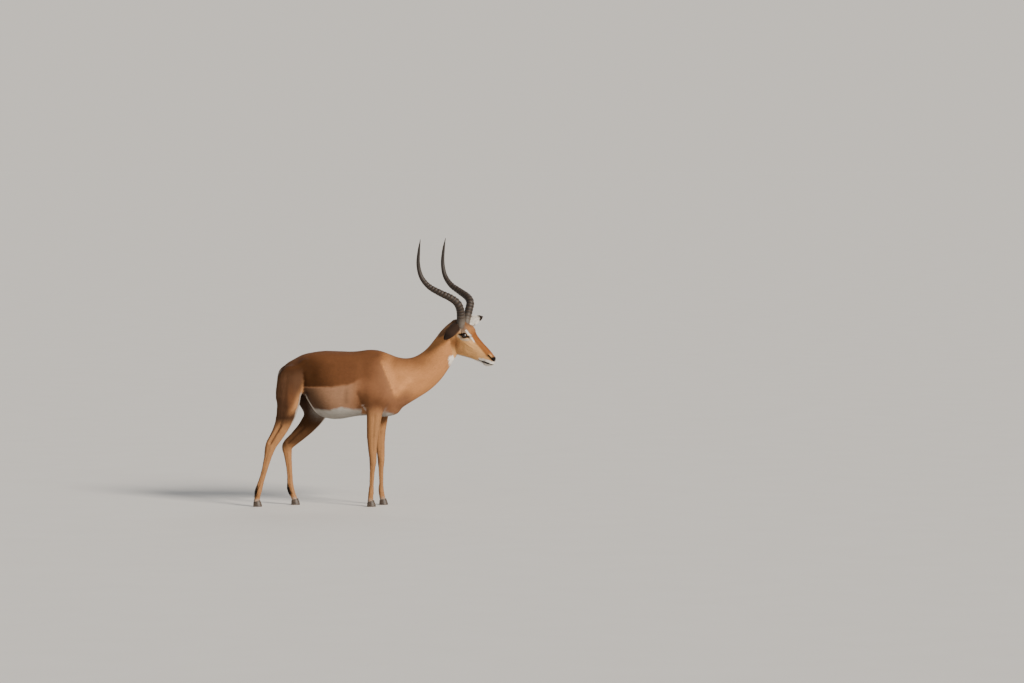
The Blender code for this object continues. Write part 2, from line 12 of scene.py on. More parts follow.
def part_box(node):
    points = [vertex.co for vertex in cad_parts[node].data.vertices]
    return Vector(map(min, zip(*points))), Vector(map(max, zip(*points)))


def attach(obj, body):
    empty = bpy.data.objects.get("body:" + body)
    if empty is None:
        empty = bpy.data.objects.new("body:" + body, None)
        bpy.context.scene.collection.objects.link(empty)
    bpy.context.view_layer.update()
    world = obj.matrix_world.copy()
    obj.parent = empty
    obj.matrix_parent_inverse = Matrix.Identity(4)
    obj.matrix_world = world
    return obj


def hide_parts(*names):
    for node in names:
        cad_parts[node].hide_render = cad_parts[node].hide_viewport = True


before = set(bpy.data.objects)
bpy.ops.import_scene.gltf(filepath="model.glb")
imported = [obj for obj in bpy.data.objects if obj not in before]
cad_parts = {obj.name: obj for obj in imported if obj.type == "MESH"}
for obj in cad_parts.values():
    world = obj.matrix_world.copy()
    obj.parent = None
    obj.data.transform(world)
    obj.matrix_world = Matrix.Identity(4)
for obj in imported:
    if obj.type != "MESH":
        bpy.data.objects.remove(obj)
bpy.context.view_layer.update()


# ------------------------------------------------------------------ skin: the body
# The hide over trunk, neck, head, legs and tail, in one piece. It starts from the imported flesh, closed
# over its joints, and lies a coat's depth inside it.
FLESH = ("head", "neck", "trunk", "tail", "foreleg_left", "foreleg_right", "hindleg_left", "hindleg_right")
COAT_DEPTH = 0.0024
SKIN_GRID = 0.0040

UPRIGHT_TURN = Matrix.Rotation(math.radians(-24), 3, "Z")
HEAD_TURN = UPRIGHT_TURN @ Matrix.Rotation(math.radians(42), 3, "Y")
HEAD_AXES = np.array(HEAD_TURN)
EYE_SEAT = Vector((0.0640, 0.0420, 0.0190))
EYE_RADIUS = 0.0180


def middle(node):
    low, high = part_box(node)
    return (Vector(low) + Vector(high)) / 2


# The poll, between the horns, is the head's own origin: x runs down the nose, y to the left, z out of
# the brow. The body's own origin is on the floor, level with the withers, in the middle plane.
eyes_middle = (middle("eye_left") + middle("eye_right")) / 2
poll = eyes_middle - HEAD_TURN @ Vector((EYE_SEAT.x, 0, EYE_SEAT.z))
body_origin = poll - Vector((0.489, -0.014, 1.012))


def in_head(points):
    """Points of the model in the head's own axes."""
    return (points - np.array(poll)) @ HEAD_AXES


def from_head(points):
    return points @ HEAD_AXES.T + np.array(poll)


def in_plan(points):
    """Points from the body's own origin: x forwards from the withers, y to the left, z up."""
    return points - np.array(body_origin)


def rise(value, low, high):
    """0 below low, 1 above high, and smooth between."""
    t = np.clip((value - low) / (high - low), 0, 1)
    return t * t * (3 - 2 * t)


def fall(value, low, high):
    """1 below low, 0 above high, and smooth between."""
    return 1 - rise(value, low, high)


def read_vectors(mesh, field):
    flat = np.empty(len(mesh.vertices) * 3)
    mesh.vertices.foreach_get(field, flat)
    return flat.reshape(-1, 3)


def coordinates(mesh):
    return read_vectors(mesh, "co")


def normals(mesh):
    return read_vectors(mesh, "normal")


def set_coordinates(mesh, points):
    mesh.vertices.foreach_set("co", np.ascontiguousarray(points, dtype=float).ravel())
    mesh.update()


def ease(mesh, points, rounds, pull, keep=0.0):
    """Draws each point towards its neighbours. keep gives back that share of the shrinking."""
    ends = np.empty(len(mesh.edges) * 2, dtype=np.int64)
    mesh.edges.foreach_get("vertices", ends)
    a, b = ends.reshape(-1, 2).T
    n = len(points)
    shared = np.maximum(np.bincount(np.concatenate((a, b)), minlength=n), 1)
    pull = np.broadcast_to(np.asarray(pull, float), (n,))[:, None]
    for _ in range(rounds):
        for step in ((0.6, -0.6 * keep) if keep else (0.6,)):
            mean = np.empty_like(points)
            for k in range(3):
                total = np.bincount(a, points[b, k], n) + np.bincount(b, points[a, k], n)
                mean[:, k] = total / shared
            points = points + (mean - points) * pull * step
    return points


def linked(name, data):
    """A new object in the scene."""
    thing = bpy.data.objects.new(name, data)
    bpy.context.scene.collection.objects.link(thing)
    return thing


def applied(holder, kind, **values):
    """The mesh of an object after one modifier. The object is dropped."""
    modifier = holder.modifiers.new(kind.lower(), kind)
    for key, value in values.items():
        setattr(modifier, key, value)
    graph = bpy.context.evaluated_depsgraph_get()
    out = bpy.data.meshes.new_from_object(holder.evaluated_get(graph))
    bpy.data.objects.remove(holder)
    return out


def split_edges(bm, picked, **more):
    """Halves the edges between the picked points, for a finer grid there."""
    for index, vert in enumerate(bm.verts):
        vert.index = index
    edges = [e for e in bm.edges if picked[e.verts[0].index] and picked[e.verts[1].index]]
    bmesh.ops.subdivide_edges(bm, edges=edges, cuts=1, use_grid_fill=True, **more)


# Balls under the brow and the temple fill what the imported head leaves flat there: seat and radius.
BROW_BALLS = (((0.024, 0.029, 0.040), 0.020), ((-0.006, 0.026, 0.022), 0.018))
WELD, CLOSING = 0.00001, 0.0007
bm = bmesh.new()
for node in FLESH + ("eye_left", "eye_right"):
    bm.from_mesh(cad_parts[node].data)
bmesh.ops.remove_doubles(bm, verts=bm.verts, dist=WELD)
for side in (1, -1):
    for (x, y, z), radius in BROW_BALLS:
        place = poll + HEAD_TURN @ Vector((x, y * side, z))
        bmesh.ops.create_icosphere(bm, subdivisions=3, radius=radius, matrix=Matrix.Translation(place))
bm.normal_update()
outward = [v.normal.copy() for v in bm.verts]
for vert, way in zip(bm.verts, outward):
    vert.co += way * CLOSING
flesh = bpy.data.meshes.new("flesh")
bm.to_mesh(flesh)
bm.free()
hide = applied(linked("holder", flesh), "REMESH", mode="VOXEL", voxel_size=SKIN_GRID)

# Only the outer surface is kept, without any scrap left inside at a joint.
bm = bmesh.new()
bm.from_mesh(hide)
bm.verts.ensure_lookup_table()
start = max(bm.verts, key=lambda v: v.co.y)
seen, stack = {start}, [start]
while stack:
    for edge in stack.pop().link_edges:
        for vert in edge.verts:
            if vert not in seen:
                seen.add(vert)
                stack.append(vert)
bmesh.ops.delete(bm, geom=[v for v in bm.verts if v not in seen], context="VERTS")

# Finer faces on the head.
points = np.array([v.co[:] for v in bm.verts])
head_part = in_head(points)
under_jaw = -0.125 - 0.25 * np.clip(0.08 - head_part[:, 0], 0, 1)
split_edges(bm, (head_part[:, 0] > -0.02) & (head_part[:, 2] > under_jaw) & (points[:, 2] > 0.76))
bm.to_mesh(hide)
bm.free()

# Broad parts are eased much. Slim ones, the legs, the head and the tail, keep their girth.
points = coordinates(hide)
head_part = in_head(points)
plan = in_plan(points)
slim = fall(plan[:, 2], 0.40, 0.62)
slim = np.maximum(slim, rise(head_part[:, 0], 0.00, 0.06) * rise(head_part[:, 2], -0.16, -0.11))
slim = np.maximum(slim, rise(-plan[:, 0], 0.528, 0.545))
points = ease(hide, points, 22, 1 - slim)
points = ease(hide, points, 12, slim, keep=1.02)
set_coordinates(hide, points)


# ------------------------------------------------------------------ skin: muscle and bone
# Forms that the flesh only hints at: shoulder blade, ribs, flank, thigh, tendons and joints. Each is a
# soft ridge or furrow along a path on the body's side.
def near(distance, width, power=2):
    """1 at no distance, and fading to nothing over about twice the width."""
    return np.exp(-((distance / width) ** power))


def path_distance(xz, path):
    """Distance in the side view from each point to a path, and how far along it is, 0 to 1."""
    best = np.full(len(xz), 9.0)
    where = np.zeros(len(xz))
    path = np.asarray(path, float)
    for k in range(len(path) - 1):
        a, b = path[k], path[k + 1]
        along = b - a
        t = np.clip(((xz - a) @ along) / (along @ along), 0, 1)
        d = np.linalg.norm(xz - (a + t[:, None] * along), axis=1)
        nearer = d < best
        best = np.where(nearer, d, best)
        where = np.where(nearer, (k + t) / (len(path) - 1), where)
    return best, where


def stroke(plan, way, path, width, height):
    """How far each point of the skin moves outwards for one ridge, or inwards for one furrow."""
    d, along = path_distance(plan[:, (0, 2)], path)
    ends = np.minimum(1, np.minimum(along, 1 - along) * 6 + 0.25)
    facing = rise(np.abs(way[:, 1]), 0.15, 0.6) * (way[:, 1] * plan[:, 1] > 0)
    return height * near(d, width) * facing * ends


set_coordinates(hide, points)
way = normals(hide)
move = np.zeros(len(points))
trunk_forms = (
    (((0.030, 0.880), (0.050, 0.850), (0.072, 0.820), (0.104, 0.740), (0.133, 0.660)), 0.0100, 0.0046),
    (((0.060, 0.870), (0.112, 0.800), (0.150, 0.710)), 0.020, -0.0040),
    (((0.148, 0.655), (0.168, 0.688), (0.200, 0.712), (0.225, 0.730)), 0.016, 0.0036),
    (((0.000, 0.860), (0.045, 0.770), (0.090, 0.680)), 0.024, -0.0020),
    (((-0.082, 0.655), (-0.068, 0.615), (-0.058, 0.580)), 0.0130, -0.0060),
    (((-0.060, 0.850), (-0.054, 0.760), (-0.056, 0.680), (-0.050, 0.600)), 0.026, -0.0046),
    (((0.098, 0.660), (0.060, 0.625), (0.020, 0.600)), 0.018, 0.0026),
    (((-0.004, 0.790), (-0.012, 0.700), (-0.020, 0.630)), 0.024, 0.0026),
    (((-0.385, 0.845), (-0.350, 0.790), (-0.345, 0.740)), 0.030, -0.0065),
    (((-0.392, 0.780), (-0.392, 0.720), (-0.400, 0.660)), 0.012, -0.0060),
    (((-0.300, 0.860), (-0.200, 0.862), (-0.100, 0.860)), 0.020, 0.0018),
    (((-0.490, 0.780), (-0.500, 0.700), (-0.505, 0.620), (-0.520, 0.520)), 0.014, -0.0045),
    (((-0.430, 0.800), (-0.445, 0.720), (-0.440, 0.640)), 0.022, 0.0030),
    (((0.290, 0.720), (0.210, 0.690), (0.150, 0.700)), 0.014, -0.0030),
    (((0.450, 0.880), (0.380, 0.800), (0.300, 0.720), (0.210, 0.655)), 0.012, -0.0040),
    (((0.430, 0.930), (0.350, 0.860), (0.260, 0.790), (0.160, 0.720)), 0.022, 0.0030),
    (((0.440, 1.010), (0.360, 0.940), (0.280, 0.870)), 0.014, -0.0025),
)
for path, width, height in trunk_forms:
    move += stroke(plan, way, path, width, height)
for rib in range(8):
    top = (-0.085 - 0.031 * rib, 0.825)
    bend = (-0.092 - 0.032 * rib, 0.720)
    low = (-0.120 - 0.033 * rib, 0.610)
    move += stroke(plan, way, (top, bend, low), 0.0085, 0.0006)

# Each leg's joints in its own stance: elbow or stifle, knee or hock, fetlock, and foot.
FORE = {1: ((0.030, 0.560), (0.044, 0.259), (0.044, 0.084), (0.053, 0.032)),
        -1: ((-0.002, 0.560), (0.001, 0.259), (-0.010, 0.084), (-0.013, 0.032))}
HIND = {1: ((-0.283, 0.551), (-0.497, 0.338), (-0.477, 0.092), (-0.455, 0.032)),
        -1: ((-0.450, 0.592), (-0.585, 0.345), (-0.655, 0.092), (-0.667, 0.032))}


def beside(a, b, t, offset):
    """A point t of the way down a bone, moved to its front (or with a minus its rear) by offset."""
    a, b = np.array(a), np.array(b)
    along = (b - a) / np.linalg.norm(b - a)
    front = np.array((-along[1], along[0]))
    if front[0] < 0:
        front = -front
    return tuple(a + (b - a) * t + front * offset)


# Knees, hocks, tendons and the hollow before the hamstring: width, height, and a path of places, each as
# the bone, the share of the way down it and how far in front of it.
FORE_FORMS = (
    (0.0060, -0.0022, (0, 0.10, 0.014), (0, 0.45, 0.005), (0, 0.80, 0.001)),
    (0.0100, 0.0022, (0, 0.10, 0.034), (0, 0.50, 0.016)),
    (0.0036, -0.0020, (1, 0.14, -0.006), (1, 0.88, -0.005)),
    (0.0110, 0.0022, (0, 0.97, 0.004), (1, 0.06, 0.004)),
    (0.0110, 0.0016, (2, -0.08, 0.0), (2, 0.15, 0.0)),
)
HIND_FORMS = (
    (0.0085, -0.0085, (0, 0.52, -0.010), (0, 0.74, -0.013), (0, 0.93, -0.014)),
    (0.0140, 0.0035, (0, 0.05, 0.018), (0, 0.30, 0.012), (0, 0.60, 0.008)),
    (0.0120, -0.0030, (0, 0.15, -0.030), (0, 0.45, -0.018)),
    (0.0100, 0.0022, (1, -0.03, -0.004), (1, 0.06, 0.006)),
    (0.0038, -0.0022, (1, 0.16, -0.008), (1, 0.90, -0.006)),
    (0.0120, 0.0016, (2, -0.08, 0.0), (2, 0.15, 0.0)),
)
both = rise(np.abs(way[:, 1]), 0.1, 0.5)
for side in (1, -1):
    own = (plan[:, 1] * side > 0.02) * both
    for joints, forms in ((FORE[side], FORE_FORMS), (HIND[side], HIND_FORMS)):
        for width, height, *places in forms:
            path = [beside(joints[bone], joints[bone + 1], t, offset) for bone, t, offset in places]
            move += height * near(path_distance(plan[:, (0, 2)], path)[0], width) * own
points = points + way * (move - COAT_DEPTH * (1 - 0.45 * slim))[:, None]
set_coordinates(hide, points)


# ------------------------------------------------------------------ skin: the face
# Brows, lids, cheek bones, nostrils and lips are moved in the head's own axes, on a finer grid.
bm = bmesh.new()
bm.from_mesh(hide)
bm.verts.ensure_lookup_table()
h = in_head(points)
past_eye = EYE_SEAT + Vector((0, 0.012, 0))
near_eye = [np.linalg.norm(h - np.array((past_eye.x, past_eye.y * side, past_eye.z)), axis=1) < 0.034
            for side in (1, -1)]
near_mouth = (h[:, 0] > 0.215) & (plan[:, 2] > 0.7)
split_edges(bm, near_eye[0] | near_eye[1] | near_mouth, smooth=0.0)
bmesh.ops.triangulate(bm, faces=[f for f in bm.faces if len(f.verts) > 4])
bm.to_mesh(hide)
bm.free()

points = coordinates(hide)
plan = in_plan(points)
h = in_head(points)
on_head = rise(h[:, 0], -0.05, -0.01) * rise(h[:, 2], -0.15, -0.11)
points = ease(hide, points, 3, on_head, keep=1.0)
set_coordinates(hide, points)
way = normals(hide) @ HEAD_AXES
h = in_head(points)


def bump(centre, radii, height):
    """A soft swelling, or with a minus a hollow, at a place on both sides of the face."""
    place = np.array((h[:, 0], np.abs(h[:, 1]), h[:, 2])).T
    d = (place - np.array(centre)) / np.array(radii)
    return height * np.exp(-(d ** 2).sum(axis=1))


def face_line(path, width, height):
    """A ridge or furrow along a path given in the head's side view."""
    d, along = path_distance(h[:, (0, 2)], path)
    ends = rise(along, -0.02, 0.12) * fall(along, 0.88, 1.02)
    facing = rise(np.abs(way[:, 1]), 0.05, 0.45)
    return height * near(d, width) * facing * (0.35 + 0.65 * ends) * on_head


move = bump((0.060, 0.040, 0.048), (0.026, 0.016, 0.012), 0.0014)          # brow over the eye
move += bump((0.108, 0.040, 0.010), (0.030, 0.020, 0.010), 0.0022)         # cheek bone before the eye
move += bump((0.030, 0.052, 0.012), (0.020, 0.020, 0.010), 0.0025)         # arch behind the eye
move += bump((0.020, 0.050, 0.038), (0.016, 0.018, 0.012), -0.0030)        # hollow of the temple
move += bump((0.062, 0.046, -0.045), (0.040, 0.040, 0.036), 0.0016)        # jaw muscle
move += bump((0.112, 0.036, 0.022), (0.012, 0.016, 0.008), -0.0020)        # tear pit
move += bump((0.236, 0.026, 0.026), (0.020, 0.012, 0.012), 0.0020)         # flare over the nostril
move += bump((0.150, 0.030, -0.030), (0.040, 0.020, 0.020), -0.0020)       # hollow cheek
move += face_line(((0.085, -0.012), (0.120, -0.006), (0.160, 0.000)), 0.0050, 0.0018)
move += face_line(((0.095, -0.085), (0.100, -0.055), (0.090, -0.020)), 0.0110, -0.0012)
move += face_line(((0.120, -0.040), (0.165, -0.020), (0.205, 0.002)), 0.0035, -0.0008)
points = points + (way * (move * on_head)[:, None]) @ HEAD_AXES.T
set_coordinates(hide, points)
way = normals(hide) @ HEAD_AXES
h = in_head(points)

# The mouth: a furrow from its corner to the front, with the lips full above and below it.
MOUTH = ((0.212, -0.0320), (0.2275, -0.0265), (0.2430, -0.0195), (0.2587, -0.0120), (0.2750, -0.0045),
         (0.2940, 0.0030))
gap = path_distance(h[:, (0, 2)], MOUTH)[0]
lips = (0.0014 * near(gap - 0.0045, 0.0032) - 0.0038 * near(gap, 0.0017)) * (h[:, 0] > 0.205)
# The nostril: a comma-shaped slit, high on the side of the muzzle and open towards the front.
NOSTRIL = ((0.245, 0.0300), (0.256, 0.0305), (0.267, 0.0295), (0.278, 0.0270))
gap = path_distance(h[:, (0, 2)], NOSTRIL)[0]
slit = 0.0016 * near(gap - 0.0060, 0.0030) - 0.0062 * near(gap, 0.0030)
slit = slit * (np.abs(h[:, 1]) > 0.007) * (h[:, 0] > 0.236)
groove = -0.0016 * near(h[:, 1], 0.0016) * rise(h[:, 0], 0.276, 0.284)
points = points + (way * ((lips + slit + groove) * on_head)[:, None]) @ HEAD_AXES.T
set_coordinates(hide, points)
h = in_head(points)

# The lids: skin drawn over the ball, with an almond opening whose corners point forward and back.
LID_TILT = math.radians(20)
OPEN_LONG, OPEN_HIGH, OPEN_LOW = 1.16, 0.66, 0.58


def eye_axes(side):
    """An eye's own axes in the head's: out of the socket, along the slit, and up over the ball."""
    out = np.array((0.16, 0.97 * side, 0.18))
    out = out / np.linalg.norm(out)
    long = np.array((math.cos(LID_TILT), 0, math.sin(LID_TILT)))
    long = long - out * (long @ out)
    long = long / np.linalg.norm(long)
    return out, long, np.cross(out, long) * -side


def eye_angles(points, side):
    """Where points lie from the eye's middle: angles along and up, distance, and distance outwards."""
    d = in_head(points) - np.array((EYE_SEAT.x, EYE_SEAT.y * side, EYE_SEAT.z))
    out, long, high = eye_axes(side)
    reach = np.linalg.norm(d, axis=1)
    ahead = d @ out
    u = np.arctan2(d @ long, ahead)
    v = np.arcsin(np.clip((d @ high) / reach, -1, 1))
    return u, v, reach, ahead


def lid_edge(u, v):
    """Angle from the lid's edge: below 0 in the opening, above 0 on the lid."""
    span = 1 - np.clip(u / OPEN_LONG, -1, 1) ** 2
    tall = np.where(v > 0, OPEN_HIGH, OPEN_LOW) * span
    return np.maximum(np.abs(v) - tall, np.abs(u) - OPEN_LONG)


for side in (1, -1):
    u, v, reach, ahead = eye_angles(points, side)
    edge = lid_edge(u, v)
    seat = (reach < 0.045) & (ahead > -0.004) & (h[:, 1] * side > 0)
    lid = EYE_RADIUS + 0.0015 - 0.0031 * fall(edge, -0.10, 0.03)
    lid = lid - 0.0009 * near(edge - 0.34, 0.07) * (v > 0)
    hold = fall(edge, 0.12, 0.85) * seat
    wanted = np.where(hold > 0, reach + (lid - reach) * hold, reach)
    centre = from_head(np.array(((EYE_SEAT.x, EYE_SEAT.y * side, EYE_SEAT.z),)))[0]
    points = centre + (points - centre) * (wanted / np.maximum(reach, 1e-6))[:, None]
set_coordinates(hide, points)


# ------------------------------------------------------------------ skin: the ears
# Each ear is a thin leaf of gristle rolled into a cup, joined to the head by a wide root.
EARS = {
    "left": ((-0.008, 0.036, 0.028), (0.68, 0.68, 0.28), (0.65, -0.73, 0.21)),
    "right": ((-0.010, -0.038, 0.027), (-0.42, -0.80, -0.42), (-0.36, 0.57, -0.74)),
}
EAR_LENGTH, EAR_WIDTH, EAR_THICK, EAR_FOLD = 0.156, 0.062, 0.0026, 0.0011
EAR_ROWS, EAR_COLUMNS = 46, 26
ear_axes = {}


def ear_mesh(side):
    root, along, opening = EARS[side]
    root = HEAD_TURN @ Vector(root) + poll
    along = Vector(along).normalized()
    opening = Vector(opening)
    opening = (opening - along * opening.dot(along)).normalized()
    across = along.cross(opening)
    ear_axes[side] = (root, along, opening, across)
    bm = bmesh.new()
    rings = []
    for i in range(EAR_ROWS + 1):
        t = 0.02 + 0.98 * i / EAR_ROWS
        leaf = EAR_WIDTH / 2 * (math.sin(math.pi * min(1, 0.20 + 0.80 * t ** 0.80)) ** 0.62 + 0.05 * t)
        roll = math.radians(150 - 95 * min(1, t * 1.5))
        radius = leaf / math.sin(roll / 2)
        centre = root + along * EAR_LENGTH * t + opening * (0.012 * t * t + radius * math.cos(roll / 2))
        ring = []
        for layer, order in ((1, 1), (-1, -1)):
            for j in range(EAR_COLUMNS + 1)[::order]:
                s = 2 * j / EAR_COLUMNS - 1
                angle = roll / 2 * s
                thick = EAR_THICK * (1 - 0.55 * t) * (1.25 - 0.8 * s ** 4)
                reach = radius + layer * thick / 2
                if layer < 0:
                    fold = math.cos(3.0 * math.pi * s) * (1 - s * s) * math.sin(math.pi * min(1, t * 1.1))
                    reach -= EAR_FOLD * fold
                spot = centre + across * reach * math.sin(angle) - opening * reach * math.cos(angle)
                ring.append(bm.verts.new(spot))
        rings.append(ring)
    n = len(rings[0])
    for low, high in zip(rings, rings[1:]):
        for k in range(n):
            bm.faces.new((low[k], low[(k + 1) % n], high[(k + 1) % n], high[k]))
    bm.faces.new(list(reversed(rings[0])))
    bm.faces.new(rings[-1])
    bmesh.ops.recalc_face_normals(bm, faces=bm.faces)
    if bm.calc_volume(signed=True) < 0:
        bmesh.ops.reverse_faces(bm, faces=bm.faces)
    mesh = bpy.data.meshes.new("ear")
    bm.to_mesh(mesh)
    bm.free()
    return mesh


def ear_frame(side):
    """An ear's root, and its own axes: to the tip, out of the cup, and across."""
    return [np.array(axis) for axis in ear_axes[side]]


for side in ("left", "right"):
    ear = linked("ear_blank", ear_mesh(side))
    hide = applied(linked("holder", hide), "BOOLEAN", object=ear, operation="UNION", solver="EXACT")
    bpy.data.objects.remove(ear)
points = coordinates(hide)
root_near = np.full(len(points), 9.0)
for root, along, opening, across in ear_axes.values():
    root_near = np.minimum(root_near, np.linalg.norm(points - np.array(root + along * 0.022), axis=1))
points = ease(hide, points, 6, fall(root_near, 0.024, 0.040), keep=0.9)
set_coordinates(hide, points)

# Broad parts need fewer faces than the face, which keeps more of them.
SKIN_FACES = 196000
plain = linked("holder", hide)
broad = plain.vertex_groups.new(name="broad")
h = in_head(coordinates(hide))
breadth = 1 - 0.75 * rise(h[:, 0], 0.00, 0.03) * rise(h[:, 2], -0.14, -0.11)
for level in (0.25, 0.5, 0.75, 1.0):
    picked = np.nonzero(np.abs(breadth - level) <= 0.125)[0]
    broad.add([int(k) for k in picked], float(level), "REPLACE")
share_kept = SKIN_FACES / sum(len(f.vertices) - 2 for f in hide.polygons)
hide = applied(plain, "DECIMATE", ratio=share_kept, vertex_group="broad", vertex_group_factor=1.0)


# ------------------------------------------------------------------ skin: markings, painted shade and highlights
# Summer coat of a ram: red-brown saddle with a straight lower edge, paler flank, white belly, throat,
# chin and brow, black on the ear tips, buttocks, tail and the tufts over the hind feet.
# Painted shade and painted highlights are laid into the same colours, as marked below.
def shade(red, green, blue):
    return np.array([(c / 255) ** 2.2 for c in (red, green, blue)])


SADDLE = shade(97, 64, 43)
RUMP = shade(83, 59, 44)
FLANK = shade(144, 108, 83)
WHITE = shade(222, 214, 202)
FAWN = shade(185, 128, 82)
SHOULDER = shade(135, 94, 67)
LEG = shade(160, 115, 77)
LEG_REAR_AND_SHADE = shade(112, 78, 54)
HOLLOW_SHADE = shade(62, 46, 38)
BLACK = shade(38, 30, 27)
CROWN_AND_NAPE_SHADOW = shade(127, 94, 70)
GREY = shade(140, 124, 112)
FACE = shade(221, 166, 109)
BRIDGE = shade(140, 84, 48)
NOSE = shade(30, 26, 26)

PARTS = ("trunk", "neck", "head", "tail", "foreleg_left", "foreleg_right", "hindleg_left", "hindleg_right",
         "ear_left", "ear_right")
LEGS = ((4, 1, FORE), (5, -1, FORE), (6, 1, HIND), (7, -1, HIND))
EAR_PARTS = (("left", 8), ("right", 9))
corner_list, face_list, face_part = [], [], []
for number, node in enumerate(PARTS):
    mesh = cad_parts[node].data
    first = len(corner_list)
    corner_list.extend(v.co[:] for v in mesh.vertices)
    for polygon in mesh.polygons:
        face_list.append([first + k for k in polygon.vertices])
        face_part.append(number)
solid_tree = BVHTree.FromPolygons(corner_list, face_list)


def part_of(points):
    """Number in PARTS of the solid nearest to each point."""
    return np.array([face_part[solid_tree.find_nearest(Vector(p))[2]] for p in points])


def line_at(x, *places):
    return np.interp(x, [p[0] for p in places], [p[1] for p in places])


def coat_colour(points, way, part):
    """Colour of the coat, painted shade and highlights included, for the skin and for the root of each lock of
    hair.
    """
    plan = in_plan(points)
    x, y, z = plan.T
    wide = np.abs(y)
    colour = np.tile(FAWN, (len(points), 1))

    def paint(tone, mask):
        nonlocal colour
        mask = np.clip(mask, 0, 1)[:, None]
        colour = colour * (1 - mask) + tone * mask

    def gap(path):
        """Distance in the side view from a path over the body."""
        return path_distance(plan[:, (0, 2)], path)[0]

    ripple = 0.004 * np.sin(x * 61 + y * 23) + 0.003 * np.sin(x * 143 + 1.7 + z * 37)
    fore = (part == 4) | (part == 5)
    hind = (part == 6) | (part == 7)
    head = part == 2
    tail = part == 3
    torso = (part == 0) | (part == 1) | fore | hind
    # Trunk: saddle above, flank between, belly white.
    edge = line_at(x, (-0.42, 0.693), (-0.30, 0.695), (-0.22, 0.698), (-0.17, 0.704), (-0.13, 0.711),
                   (-0.09, 0.723), (-0.04, 0.749), (0.02, 0.80), (0.10, 0.86))
    behind_shoulder = fall(x, -0.085, 0.015)
    ridge_x = line_at(z, (0.54, 0.20), (0.62, 0.155), (0.66, 0.132), (0.82, 0.072), (0.90, 0.03))
    paint(SHOULDER, fall(x - ridge_x, -0.020, 0.022) * torso)
    paint(SHOULDER, fall(z, 0.62, 0.72) * rise(x, 0.08, 0.12) * fall(x, 0.20, 0.30) * torso)
    # Painted highlight along the front edge of the shoulder blade.
    ridge = gap(((0.060, 0.838), (0.084, 0.785), (0.110, 0.715), (0.133, 0.660)))
    paint(FAWN * 1.25, near(ridge, 0.007) * torso * 0.9)
    # Painted highlight on the ridge at the base of the neck.
    patch = gap(((0.148, 0.662), (0.180, 0.700), (0.215, 0.728)))
    paint(FAWN * 1.35, near(patch, 0.022) * torso * 0.7)
    paint(FLANK, fall(z - edge, -0.012, 0.006) * behind_shoulder * fall(x, -0.17, -0.04) * torso)
    paint(SADDLE, rise(z - edge + ripple * 0.5, -0.011, 0.010) * behind_shoulder * torso)
    paint(SADDLE * 1.20, rise(z, 0.800, 0.880) * fall(x, 0.02, 0.16) * torso)
    # Painted shade over the loin, before the hip.
    paint(SADDLE * (0.30, 0.28, 0.22), fall(x + 0.4 * (z - 0.77), -0.355, -0.19) * rise(z - edge, -0.004, 0.006)
          * fall(z, 0.83, 0.89) * torso * 0.9)
    # Painted shade on the rear of the flank, just before the thigh.
    paint(FLANK * 0.16, fall(x + 0.4 * (z - 0.64), -0.330, -0.215) * fall(z - edge, -0.012, 0.000) * torso
          * 0.80)
    # Painted shade in two soft creases, one on the flank and one behind the elbow.
    crease_shades = ((((-0.138, 0.672), (-0.140, 0.605)), 0.012, FLANK * 0.6, 0.65),
               (((-0.070, 0.668), (-0.064, 0.615), (-0.067, 0.552)), 0.011, SADDLE * 0.50, 0.60))
    for path, reach, tone, share in crease_shades:
        paint(tone, near(gap(path), reach) * torso * share)
    # Painted shade in the band behind the shoulder ridge.
    paint(SADDLE * 0.90, near(x + 0.025, 0.045) * rise(z, 0.70, 0.77) * fall(z, 0.84, 0.88) * torso * 0.95)
    paint(SADDLE * 1.15, 0.55 * rise(x, -0.12, -0.04) * fall(x, 0.00, 0.10) * rise(z, 0.56, 0.62) * torso)
    # Painted shade behind and round the elbow.
    paint(SADDLE * 0.50, near(x + 0.040, 0.040) * near(z - 0.610, 0.060) * torso * 0.9)
    paint(SADDLE * 0.80, near(x - 0.035, 0.070) * near(z - 0.602, 0.038) * torso * 0.75)
    paint(SADDLE * 1.35, 0.75 * rise(z, 0.76, 0.85) * rise(x, 0.08, 0.14) * fall(x, 0.24, 0.42) * torso)
    # Painted light: the top of the rump, which faces away from the key, is lightened.
    paint(SADDLE * 1.6, fall(x, -0.46, -0.37) * rise(z, 0.78, 0.85) * torso * 0.7)
    # Thighs and hind legs: red-brown outside, white along the front edge, and a white dimmed by painted shade
    # high inside. Painted highlights lie on the thigh's front; the rear faces carry darker hair and painted
    # shade; painted shade lies low inside and in the hollow between the thighs.
    for side in (1, -1):
        own = (y * side > 0) & torso
        stifle, hock = (np.array(p) for p in HIND[side][:2])
        along = (hock - stifle) / np.linalg.norm(hock - stifle)
        front = np.array((-along[1], along[0]))
        off = (plan[:, (0, 2)] - stifle) @ front
        thigh = own * fall(x, stifle[0] + 0.050, stifle[0] + 0.066 + 0.25 * np.clip(z - 0.66, 0, 1))
        thigh = thigh * fall(x, -0.395, -0.380) if side < 0 else thigh * fall(x, -0.33, -0.29)
        upper = thigh * rise(z, 0.40, 0.50) * fall(z, 0.74, 0.82)
        paint(RUMP, upper)
        paint(RUMP * 0.62, thigh * near(z - 0.515, 0.050) * 0.85)
        # Painted highlight down the front of the thigh.
        paint(LEG * 1.6, upper * rise(z, 0.52, 0.58) * near(off - 0.012, 0.020) * 0.75
              * rise(way[:, 1] * side, 0.1, 0.5))
        leg = own * hind * fall(z, 0.44, 0.52)
        paint(LEG * 1.05, leg)
        # The rear faces darker: darker hair, and painted shade where they turn from the key.
        rear = rise(-(way[:, (0, 2)] @ front), 0.15, 0.85)
        paint(LEG_REAR_AND_SHADE, (leg + upper * 0.6) * rear * 0.75)
